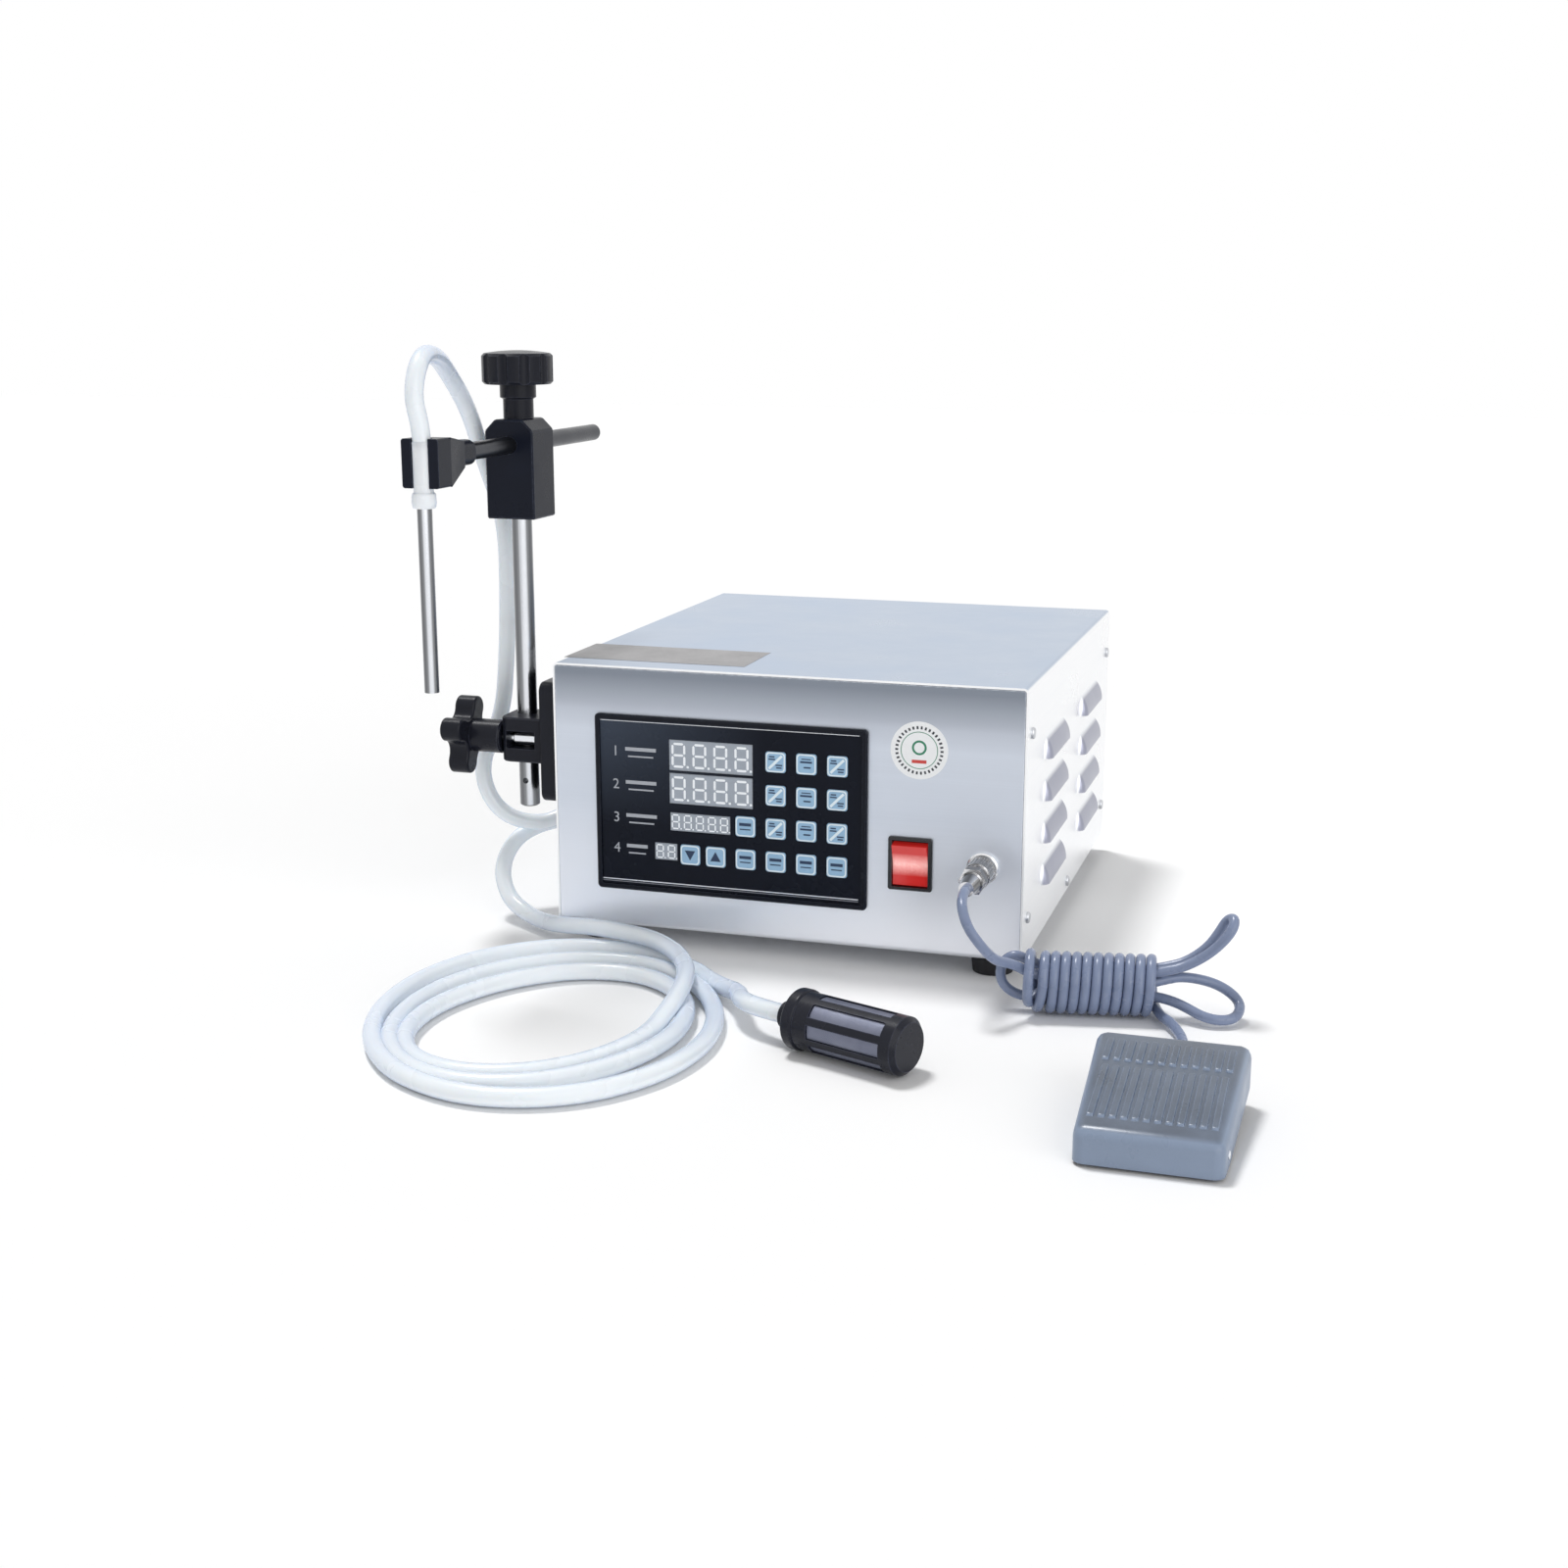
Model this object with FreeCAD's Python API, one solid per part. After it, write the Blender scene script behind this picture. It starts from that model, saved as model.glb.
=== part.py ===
import FreeCAD, Part
import math
import os

# Desk liquid filling machine. Millimetres, Z up, X to the right, Y to the back.
# The origin is on the bench, under the middle of the case.

V = FreeCAD.Vector
X_AXIS, Y_AXIS, Z_AXIS = V(1, 0, 0), V(0, 1, 0), V(0, 0, 1)

# Case
CASE_W = 280.0
CASE_D = 300.0
CASE_H = 156.0
CHASSIS_T = 1.5
COVER_T = 1.2
SHEET_GAP = 0.2
BEND_R = 3.0
FLANGE_W = 14.0
SEAT_GAP = 0.1
RUN_GAP = 0.05

# Feet
FOOT_R = 13.0
FOOT_H = 12.0
FOOT_INSET = 20.0
FOOT_TAPER = 1.5
FOOT_SCREW_R = 5.0
FOOT_SCREW_DEEP = 4.0

# Cover screws, and their places on each side
SCREW_R = 1.5
SCREW_HEAD_R = 3.3
SCREW_HEAD_H = 1.8
SCREW_LEN = 6.0
SCREW_EDGE = 13.0
SCREW_LOW = 23.0
SCREW_HIGH = 129.0
SCREW_BASE = 6.5

# Louvres on both sides
LOUVRE_L = 68.0
LOUVRE_H = 12.5
LOUVRE_OUT = 4.5
LOUVRE_SKIN = 1.0
LOUVRE_ROWS = 4
LOUVRE_PITCH = 25.0
LOUVRE_FIRST = 30.0
LOUVRE_COLUMN_Y = (-61.0, 67.0)

# Control panel on the front
PANEL_Z = 75.5
PANEL_W = 164.0
PANEL_H = 105.0
PANEL_CORNER = 2.5
FRAME_W = 3.0
FRAME_T = 2.4
OVERLAY_T = 1.2
PANEL_CUT_IN = 9.0
KEY_SIZE = 12.0
KEY_CORNER = 1.6
KEY_PROUD = 0.7
KEY_T = 1.5
KEY_GAP = 0.15
KEY_TRAVEL = 0.4
KEY_COLUMN_PITCH = 18.2
KEY_ROW_PITCH = 19.6
KEY_COLUMNS = 3
KEY_ROWS = 4
EXTRA_KEYS = 2
EXTRA_KEY_GAP = 3.2
ARROW_KEYS = 2
ARROW_KEY_GAP = 2.0
ARROW_KEY_PITCH = 15.6
DISPLAY_W = 51.0
DISPLAY_GAP = 0.2
DISPLAY_BACK = 0.5
BOARD_T = 1.6
BOARD_BEHIND = 8.0
BOARD_MARGIN = 4.0
POST_R = 3.0
TACT_SIZE = 6.0
TACT_H = 3.6
TACT_STEM_R = 1.7

# Gaps from left to right: case, panel, switch, socket, case; then panel, displays, keys, panel;
# and from below: panel, keys, panel. What a change of size leaves over is shared among them.
FRONT_GAPS = (26.5, 12.25, 19.75, 14.0)
PANEL_GAPS = (45.3, 7.7, 11.6)
PANEL_GAPS_UP = (18.2, 16.0)

# Rocker switch
SWITCH_Z = 52.5
SWITCH_W = 25.5
SWITCH_H = 31.0
SWITCH_BEZEL_T = 2.0
SWITCH_WALL = 2.2
SWITCH_DEPTH = 20.0
SWITCH_CORNER = 1.5
ROCKER_TILT = 10.0
ROCKER_HALF = 12.2
ROCKER_TIP = 6.4
ROCKER_VALLEY = 4.2
ROCKER_UNDER = 5.0
ROCKER_PIVOT_IN = 4.0
ROCKER_PIN_R = 1.5
ROCKER_GAP = 0.4

# Foot switch socket and plug
SOCKET_Z = 53.5
SOCKET_R = 6.0
SOCKET_FLANGE_R = 9.0
SOCKET_FLANGE_T = 3.0
SOCKET_NUT_T = 3.0
SOCKET_INSIDE = 14.0
RING_R = 7.6
RING_LEN = 15.0
RING_SLOTS = 18
RING_SLOT_DEEP = 0.5
PLUG_CORE_R = 4.6
PLUG_BODY_R = 6.4
PLUG_BODY_LEN = 13.0
PLUG_TAIL_LEN = 12.0
PLUG_TAIL_R = 4.2
RING_LIP = 1.5

# Foot switch cable
CABLE_R = 2.75
HANK_LEN = 63.0
HANK_W = 31.0
HANK_H = 35.0
HANK_AT = (189.5, -187.0)
HANK_TURN = 11.0
HANK_LOOP_WIDE = 1.6

# Foot pedal
PEDAL_X = 240.0
PEDAL_Y = -337.0
PEDAL_W = 68.0
PEDAL_L = 96.0
PEDAL_FRONT_H = 18.0
PEDAL_BACK_H = 30.5
PEDAL_WALL = 2.4
PEDAL_FLOOR_GAP = 1.5
PEDAL_SKIRT = 20.0
PEDAL_NOSE_L = 24.0
PEDAL_NOSE_R = 4.0
PEDAL_SIDE_R = 1.5
PEDAL_NOTCH_W = 13.0
PEDAL_NOTCH_TOP = 22.0
PEDAL_PIN_R = 2.0
PEDAL_PIN_IN = 13.0
PEDAL_PIN_Z = 8.5
PEDAL_PIN_PROUD = 0.6
PEDAL_SIDE_GAP = 1.0
PEDAL_RAIL_H = 8.0
PEDAL_REAR_H = 11.0
PEDAL_EAR_T = 3.0
PEDAL_SOLE_T = 3.0
PEDAL_GLAND_R = 4.5
PEDAL_GLAND_OUT = 4.0
PEDAL_GLAND_Z = 8.0
RIB_COUNT = 11
RIB_W = 2.4
RIB_H = 0.8
RIB_PITCH = 5.0
RIB_FRONT_L = 48.0
RIB_BACK_L = 21.0
RIB_SPACE = 5.0
RIB_START = 12.0
SPRING_R = 5.0
SPRING_WIRE_R = 0.6
SPRING_TURNS = 3.5
SPRING_STEPS = 8
SPRING_Y = -310.0
SPRING_SEAT = 0.1
MICRO_W = 20.0
MICRO_D = 7.0
MICRO_H = 14.5
MICRO_X = 17.0

# Pole and its bracket on the left side
POLE_OUT = 28.0
POLE_Y = -125.0
POLE_R = 6.0
POLE_BOTTOM = 75.0
POLE_HOLE_R = 1.8
POLE_HOLE_UP = 16.0
BRACKET_T = 11.5
BRACKET_W = 42.0
BRACKET_H = 72.0
BRACKET_LOW = 82.5
BRACKET_CORNER = 6.0
CLAMP_H = 27.0
CLAMP_LOW = 105.0
CLAMP_WALL = 4.5
CLAMP_ROUND = 6.0
CLAMP_FRONT = 18.0
CLAMP_BACK = 11.0
WINDOW_H = 10.5
WINDOW_END = 4.0
WINDOW_REACH = 12.0
STUD_R = 3.0
SLEEVE_R = 4.3
SLEEVE_LEN = 14.0
STAR_HUB_R = 10.0
STAR_HUB_LEN = 19.0
STAR_T = 13.0
STAR_LOBE_R = 7.0
STAR_VALLEY = 12.5
STAR_LOBES = 4
STAR_SPAN = 23.5
STAR_PHASE = 20.0
STAR_EDGE = 1.5

# Arm on top of the pole
BLOCK_W = 30.0
BLOCK_H = 57.0
BLOCK_LOW = 249.0
BLOCK_CHAMFER = 6.5
BLOCK_EDGE = 0.8
POLE_IN_BLOCK = 27.0
ROD_R = 5.0
ROD_Z = 291.5
ROD_FRONT = -213.0
ROD_BACK = -13.0
ROD_CHAMFER = 1.0
KNOB_R = 20.5
KNOB_H = 17.5
KNOB_DOME = 1.6
KNOB_FLUTES = 10
KNOB_FLUTE_R = 4.0
KNOB_FLUTE_DEEP = 1.5
KNOB_NECK_R = 10.5
KNOB_NECK_H = 8.5
KNOB_COLLAR_R = 8.8
KNOB_COLLAR_H = 11.0
KNOB_SCREW_R = 4.0

# Nozzle and its holder
NOZZLE_R = 4.0
NOZZLE_BORE_R = 3.0
NOZZLE_Y = -247.0
NOZZLE_LOW = 166.5
NOZZLE_TOP = 298.0
HOLDER_W = 21.5
HOLDER_H = 26.0
HOLDER_MID = 289.0
HOLDER_FRONT = -250.0
HOLDER_PLATE = 15.0
HOLDER_NECK = 14.0
HOLDER_BACK = -197.0
HOLDER_EDGE = 1.5

# Hoses
HOSE_R = 5.0
HOSE_GAP = 0.3
SLEEVE_LOW = 265.5
SLEEVE_OUT = 5.4
PORT_X = -58.0
PORT_OUT_Z = 88.0
PORT_IN_Z = 64.0
PORT_HEX_R = 8.0
PORT_HEX_T = 5.0
PORT_NUT_R = 8.0
PORT_NUT_LEN = 15.0
PORT_SHANK_R = 4.5
PORT_SHANK_IN = 12.0
COIL_H = 20.0
COIL_ROUND = 5.0
COIL_OUTER_AT = (-86.0, -287.0)
COIL_OUTER = (124.0, 97.0)
COIL_OUTER_TURN = 105.0
COIL_INNER_AT = (-88.0, -298.0)
COIL_INNER = (76.0, 57.0)
COIL_INNER_TURN = 77.5

# Strainer at the end of the suction hose
STRAINER_R = 15.0
STRAINER_FLANGE_R = 16.0
STRAINER_FLANGE_T = 7.0
STRAINER_NECK_R = 7.0
STRAINER_NECK_LEN = 8.0
STRAINER_LEN = 62.0
STRAINER_WINDOWS = 8
STRAINER_WINDOW_W = 7.5
STRAINER_WINDOW_L = 44.0
STRAINER_CORE_R = 10.5
STRAINER_TURN = -20.4

# Straight stretches where the hose and the cable leave the nozzle, the plug and the pedal
NOZZLE_LEAD_OUT = 28.0
PLUG_LEAD_OUT = 15.0
PEDAL_LEAD_OUT = 21.0

# Mains inlet on the rear
INLET_IN = 45.0
INLET_Z = 40.0
INLET_W = 50.0
INLET_H = 28.0
INLET_T = 3.0
INLET_BODY_W = 28.0
INLET_BODY_H = 21.0
INLET_DEPTH = 22.0
INLET_WALL = 2.0
PIN_R = 1.6
PIN_LEN = 13.0
PIN_PITCH = 7.0

# Inside the case
HEAD_W = 62.0
HEAD_D = 34.0
HEAD_H = 60.0
HEAD_CORNER = 5.0
MOTOR_R = 28.0
MOTOR_LEN = 96.0
MOTOR_FOOT_W = 44.0
MOTOR_FOOT_T = 3.0
MOTOR_STRAP_L = 40.0
SUPPLY_W = 100.0
SUPPLY_D = 130.0
SUPPLY_H = 38.0
SUPPLY_IN = 78.0
SUPPLY_Y = 10.0
SUPPLY_SLOTS = 9
SUPPLY_SLOT_W = 3.0
SUPPLY_SLOT_PITCH = 11.0
TERMINAL_W = 70.0
TERMINAL_H = 14.0



def shared(gaps, spare):
    """The gaps, all changed by one factor so that together they fill the spare length."""
    return [gap * spare / sum(gaps) for gap in gaps]


# Places that follow from the sizes above
FRONT = -CASE_D / 2
BACK = CASE_D / 2
LEFT = -CASE_W / 2
RIGHT = CASE_W / 2
BASE = FOOT_H
TOP = FOOT_H + CASE_H
FLOOR_IN = BASE + CHASSIS_T
CHASSIS_W = CASE_W - 2 * (COVER_T + SHEET_GAP)
PANEL_MID_Z = BASE + PANEL_Z
POLE_X = LEFT - POLE_OUT
PLUG_END = SOCKET_FLANGE_T + RING_LEN + RING_LIP + PLUG_BODY_LEN + PLUG_TAIL_LEN
STUD_Y = POLE_Y - POLE_R - SLEEVE_R - SEAT_GAP
CLAMP_MID = CLAMP_LOW + CLAMP_H / 2
CLAMP_LEFT = POLE_X - POLE_R - CLAMP_WALL
BLOCK_TOP = BLOCK_LOW + BLOCK_H
PEDAL_YF = PEDAL_Y - PEDAL_L / 2
PEDAL_YB = PEDAL_Y + PEDAL_L / 2
PEDAL_PIN_Y = PEDAL_YF + PEDAL_PIN_IN
FRONT_GAP = shared(FRONT_GAPS, CASE_W - PANEL_W - SWITCH_W - 2 * SOCKET_FLANGE_R)
PANEL_LEFT = LEFT + FRONT_GAP[0]
PANEL_X = PANEL_LEFT + PANEL_W / 2
SWITCH_X = PANEL_LEFT + PANEL_W + FRONT_GAP[1] + SWITCH_W / 2
SOCKET_X = RIGHT - FRONT_GAP[3] - SOCKET_FLANGE_R
INLET_X = RIGHT - INLET_IN
SUPPLY_X = RIGHT - SUPPLY_IN
KEY_BLOCK_W = KEY_COLUMN_PITCH * (KEY_COLUMNS - 1) + KEY_SIZE
KEY_BLOCK_H = KEY_ROW_PITCH * (KEY_ROWS - 1) + KEY_SIZE
PANEL_GAP = shared(PANEL_GAPS, PANEL_W - DISPLAY_W - KEY_BLOCK_W)
PANEL_GAP_UP = shared(PANEL_GAPS_UP, PANEL_H - KEY_BLOCK_H)
DISPLAY_LEFT = PANEL_LEFT + PANEL_GAP[0]
KEY_FIRST_X = DISPLAY_LEFT + DISPLAY_W + PANEL_GAP[1] + KEY_SIZE / 2
KEY_TOP_Z = PANEL_MID_Z + PANEL_H / 2 - PANEL_GAP_UP[1] - KEY_SIZE / 2
KEY_COLUMN_X = [KEY_FIRST_X + KEY_COLUMN_PITCH * n for n in range(KEY_COLUMNS)]
KEY_ROW_Z = [KEY_TOP_Z - KEY_ROW_PITCH * n for n in range(KEY_ROWS)]

# Each display: its row of keys, how far right of the widest one it starts, its lift, width, height
DISPLAYS = (
    (0, 0.0, -0.1, DISPLAY_W, 18.5),
    (1, 0.0, -0.2, DISPLAY_W, 18.5),
    (2, 0.3, -0.5, 37.0, 11.2),
    (3, -9.5, 0.7, 14.2, 10.5),
)

# Outlet hose, from the rear port along the left side and up to the nozzle. Each stretch hands
# over to the next in the middle of the run between them.
OUTLET_SIDE = (
    (PORT_X, BACK + PORT_HEX_T + PORT_NUT_LEN, PORT_OUT_Z),
    (PORT_X, 208.7, PORT_OUT_Z),
    (-85.8, 236.5, 88.0),
    (-125.2, 236.5, 86.0),
    (-153.0, 208.7, 82.0),
    (-154.0, 150.0, 78.0),
    (-153.0, 82.0, 75.0),
    (-153.5, 20.0, 73.5),
    (-153.1, -27.9, 73.6),
    (-150.4, -67.1, 72.3),
    (-169.7, -90.8, 52.8),
    (-198.4, -104.8, 60.2),
    (-212.6, -104.5, 89.7),
    (-197.8, -96.7, 122.3),
    (-192.1, -100.2, 161.6),
)
OUTLET_RISE = (
    (-190.1, -100.0, 203.9),
    (-190.4, -100.1, 245.3),
)
OUTLET_ARCH = (
    (-190.8, -107.3, 283.6),
    (-186.1, -131.2, 312.9),
    (-181.5, -164.2, 331.4),
    (-175.3, -195.0, 349.0),
)
OUTLET_DROP = (
    (-166.7, -226.5, 347.2),
    (POLE_X, NOZZLE_Y, NOZZLE_TOP + NOZZLE_LEAD_OUT),
    (POLE_X, NOZZLE_Y, NOZZLE_TOP),
)

# Suction hose, from the rear port to the coil, and from the coil to the strainer
SUCTION_ROUTE = (
    (PORT_X, BACK + PORT_HEX_T + PORT_NUT_LEN, PORT_IN_Z),
    (PORT_X, 208.7, PORT_IN_Z),
    (-85.8, 236.5, 64.0),
    (-125.2, 236.5, 63.0),
    (-153.0, 208.7, 62.0),
    (-154.0, 150.0, 60.0),
    (-153.0, 82.0, 58.0),
    (-153.5, 20.0, 57.0),
    (-151.1, -27.5, 55.9),
    (-155.3, -62.9, 52.9),
    (-177.2, -80.8, 53.0),
    (-192.2, -95.6, 45.1),
    (-195.4, -111.7, 29.8),
    (-185.5, -124.3, 14.0),
    (-166.4, -134.0, 7.1),
    (-148.1, -147.0, 8.0),
    (-130.2, -159.9, 12.0),
    (-111.0, -169.5, 15.9),
    (-91.0, -173.0, 16.0),
)
TAIL_ROUTE = (
    (-23.0, -211.0, 5.2),
    (-8.4, -226.7, 7.8),
    (4.4, -242.9, 12.1),
    (11.5, -260.6, 14.9),
    (23.0, -271.7, 16.0),
    (41.7, -278.7, 16.0),
)

# Foot switch cable, from the plug to the hank, and from the hank to the pedal
LEAD_ROUTE = (
    (SOCKET_X, FRONT - PLUG_END, BASE + SOCKET_Z),
    (SOCKET_X, FRONT - PLUG_END - PLUG_LEAD_OUT, BASE + SOCKET_Z),
    (119.6, -224.4, 55.2),
    (125.9, -228.6, 39.2),
    (132.3, -218.8, 26.1),
    (143.6, -205.1, 24.0),
    (160.30, -201.85, 24.0),
)
CABLE_TAIL_ROUTE = (
    (216.5, -189.9, 6.0),
    (228.4, -200.3, 5.0),
    (236.1, -215.5, 3.4),
    (239.4, -233.1, 3.4),
    (240.0, -251.4, 3.8),
    (PEDAL_X, PEDAL_YB + PEDAL_LEAD_OUT, PEDAL_GLAND_Z),
    (PEDAL_X, PEDAL_YB + PEDAL_GLAND_OUT, PEDAL_GLAND_Z),
)
# Loops that stand out of the hank's two ends
HANK_LOOP_LEFT = (
    (166.0, -189.0, 8.0),
    (150.0, -191.0, 6.0),
    (137.0, -192.0, 13.0),
    (136.0, -191.0, 27.0),
    (146.0, -189.0, 34.0),
    (165.0, -187.0, 28.0),
)
HANK_LOOP_RIGHT = (
    (212.0, -180.0, 21.0),
    (232.0, -173.0, 21.5),
    (250.0, -167.0, 17.0),
    (263.0, -171.0, 8.0),
    (261.0, -187.0, 3.4),
    (247.0, -191.5, 4.5),
    (232.0, -184.5, 10.0),
    (212.0, -181.0, 12.0),
)
HANK_LOOP_UP = (
    (212.0, -180.0, 27.0),
    (232.0, -176.0, 29.5),
    (246.0, -172.0, 40.0),
    (255.0, -168.0, 54.0),
)


def box(x0, y0, z0, x1, y1, z1):
    return Part.makeBox(x1 - x0, y1 - y0, z1 - z0, V(x0, y0, z0))


def plate_on_front(x, z, width, height, near, far, corner=0.0):
    """A plate parallel to the front, from depth near to depth far, with round corners."""
    plate = box(x - width / 2, near, z - height / 2, x + width / 2, far, z + height / 2)
    if corner > 0:
        edges = [e for e in plate.Edges if edge_along(e, Y_AXIS)]
        plate = plate.makeFillet(min(corner, width / 3, height / 3), edges)
    return plate


def edge_along(edge, direction):
    if not isinstance(edge.Curve, Part.Line):
        return False
    return abs(edge.Curve.Direction.dot(direction)) > 0.999


def edges_along(shape, direction, wanted):
    return [e for e in shape.Edges if edge_along(e, direction) and wanted(e.CenterOfMass)]


def rod_between(start, end, radius):
    line = end - start
    return Part.makeCylinder(radius, line.Length, start, line)


def joined(shapes):
    result = shapes[0]
    if len(shapes) > 1:
        result = result.fuse(list(shapes[1:]))
    return result.removeSplitter()


def face_of(points):
    return Part.Face(Part.makePolygon(list(points) + [points[0]]))


def save(name, shape):
    for solid in shape.Solids:
        if not solid.isValid():
            print("not valid:", name)
    shape.exportStep(os.path.join("parts", name + ".step"))


def hexagon(centre, radius, length, direction):
    """A hexagonal prism that starts at centre; radius is to a flat."""
    corner = radius / math.cos(math.pi / 6)
    points = [V(
        corner * math.cos(math.pi / 3 * n), corner * math.sin(math.pi / 3 * n), 0
    ) for n in range(6)]
    prism = face_of(points).extrude(V(0, 0, length))
    prism.Placement = FreeCAD.Placement(centre, FreeCAD.Rotation(Z_AXIS, direction))
    return prism


# Routes of tangent arcs


def route_edges(points):
    """The corner points of a route, and for each inner corner its tangent arc and radius."""
    places = [V(*p) for p in points]
    runs = [(b - a).Length for a, b in zip(places, places[1:])]
    corners = []
    for n in range(1, len(places) - 1):
        into = (places[n] - places[n - 1]).normalize()
        out = (places[n + 1] - places[n]).normalize()
        turn = into.getAngle(out)
        reach = 0.45 * min(runs[n - 1], runs[n])
        radius = reach / math.tan(turn / 2)
        inward = (out - into).normalize()
        middle = places[n] + inward * (radius / math.cos(turn / 2) - radius)
        corners.append((places[n] - into * reach, middle, places[n] + out * reach, radius))
    return places, corners


def route_paths(points, splits=()):
    """Runs and arcs along a route, in a new list from the middle of each run in splits."""
    places, corners = route_edges(points)
    paths = []
    edges = []
    here = places[0]
    for n in range(len(places) - 1):
        if n in splits:
            halfway = (places[n] + places[n + 1]) / 2
            edges.append(Part.LineSegment(here, halfway).toShape())
            paths.append(edges)
            edges = []
            here = halfway
        if n < len(corners):
            start, middle, stop, _ = corners[n]
            edges.append(Part.LineSegment(here, start).toShape())
            edges.append(Part.Arc(start, middle, stop).toShape())
            here = stop
    edges.append(Part.LineSegment(here, places[-1]).toShape())
    paths.append(edges)
    return paths


def tube_along(edges, radius):
    start = edges[0].Vertexes[0].Point
    direction = edges[0].tangentAt(edges[0].FirstParameter)
    section = Part.Wire([Part.makeCircle(radius, start, direction)])
    return Part.Wire(edges).makePipeShell([section], True, False)


def cord(points, radius, name, splits=()):
    """Closed tubes along a route, handed over in the middle of the runs in splits."""
    radii = [corner[3] for corner in route_edges(points)[1]]
    print(name, "tightest arc %.1f mm, %.1f diameters" % (min(radii), min(radii) / (2 * radius)))
    tubes = []
    for edges in route_paths(points, splits):
        tube = tube_along(edges, radius)
        length = sum(edge.Length for edge in edges)
        share = tube.Volume / (math.pi * radius**2 * length)
        print("  length %.1f mm, volume share %.4f" % (length, share))
        tubes.append(tube)
    return tubes


def channel(points, radius):
    """The space that a cord leaves in a coil or hank: a little wider, on the same route."""
    return tube_along(route_paths(points)[0], radius + HOSE_GAP)


# Case


def base_chassis():
    """Bottom, front and rear from one bent sheet, with flanges at its sides."""
    half = CHASSIS_W / 2
    high = TOP - COVER_T - SHEET_GAP
    outer = box(-half, FRONT, BASE, half, BACK, high)
    outer = outer.makeFillet(BEND_R, edges_along(outer, X_AXIS, lambda c: c.z < BASE + 1))
    under_bend = BEND_R - COVER_T - SHEET_GAP
    outer = outer.makeFillet(under_bend, edges_along(outer, Y_AXIS, lambda c: c.z > high - 1))
    inner = box(-half - 1, FRONT + CHASSIS_T, FLOOR_IN, half + 1, BACK - CHASSIS_T, high + 1)
    inner = inner.makeFillet(BEND_R - CHASSIS_T, edges_along(inner, X_AXIS, lambda c: c.z < FLOOR_IN + 1))
    sheet = outer.cut(inner)
    parts = [sheet]
    for side in (-1, 1):
        edge, inside = side * half, side * (half - CHASSIS_T)
        low_x, high_x = min(edge, inside), max(edge, inside)
        parts.append(
            box(low_x, FRONT + CHASSIS_T / 2, FLOOR_IN, high_x, FRONT + CHASSIS_T + FLANGE_W + 6, high)
        )
        parts.append(
            box(low_x, BACK - CHASSIS_T - FLANGE_W - 6, FLOOR_IN, high_x, BACK - CHASSIS_T / 2, high)
        )
        parts.append(
            box(low_x, FRONT + BEND_R, BASE + CHASSIS_T / 2, high_x, BACK - BEND_R, BASE + FLANGE_W)
        )
    chassis = joined(parts).common(outer)
    cuts = [
        plate_on_front(
            PANEL_X,
            PANEL_MID_Z,
            PANEL_W - 2 * PANEL_CUT_IN,
            PANEL_H - 2 * PANEL_CUT_IN,
            FRONT - 1,
            FRONT + CHASSIS_T + 1,
        ),
        plate_on_front(
            SWITCH_X,
            BASE + SWITCH_Z,
            SWITCH_W - SWITCH_WALL,
            SWITCH_H - SWITCH_WALL,
            FRONT - 1,
            FRONT + CHASSIS_T + 1,
        ),
        rod_between(
            V(SOCKET_X, FRONT - 1, BASE + SOCKET_Z),
            V(SOCKET_X, FRONT + CHASSIS_T + 1, BASE + SOCKET_Z),
            SOCKET_R + SEAT_GAP,
        ),
        plate_on_front(
            INLET_X,
            BASE + INLET_Z,
            INLET_BODY_W + 2 * SEAT_GAP,
            INLET_BODY_H + 2 * SEAT_GAP,
            BACK - CHASSIS_T - 1,
            BACK + 1,
        ),
    ]
    for z in (PORT_OUT_Z, PORT_IN_Z):
        cuts.append(
            rod_between(V(PORT_X, BACK - CHASSIS_T - 1, z), V(PORT_X, BACK + 1, z), PORT_SHANK_R + SEAT_GAP)
        )
    cuts += screw_holes()
    for x, y in foot_places():
        cuts.append(rod_between(V(x, y, BASE - 1), V(x, y, FLOOR_IN + 1), SCREW_R + SEAT_GAP))
    return chassis.cut(cuts)


def screw_places():
    """Y and z of the cover screws, the same on both sides."""
    near, far = FRONT + SCREW_EDGE, BACK - SCREW_EDGE
    return (
        (near, BASE + SCREW_LOW),
        (near, BASE + SCREW_HIGH),
        (far, BASE + SCREW_LOW),
        (far, BASE + SCREW_HIGH),
        (0.0, BASE + SCREW_BASE),
    )


def screw_seats():
    """Side (-1 left, 1 right), y and z of each cover screw; the pole bracket covers one place."""
    seats = []
    for side in (-1, 1):
        for y, z in screw_places():
            covered = side < 0 and y < POLE_Y + BRACKET_W / 2 and BRACKET_LOW < z < BRACKET_LOW + BRACKET_H
            if not covered:
                seats.append((side, y, z))
    return seats


def screw_holes():
    """One short cutter per cover screw, through both sheets of its side."""
    holes = []
    for side, y, z in screw_seats():
        outside, inside = side * (CASE_W / 2 + 1), side * (CASE_W / 2 - SCREW_LEN)
        holes.append(rod_between(V(outside, y, z), V(inside, y, z), SCREW_R + SEAT_GAP))
    return holes


def louvre_places():
    return [
        (y, BASE + LOUVRE_FIRST + LOUVRE_PITCH * row)
        for y in LOUVRE_COLUMN_Y
        for row in range(LOUVRE_ROWS)
    ]


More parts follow.
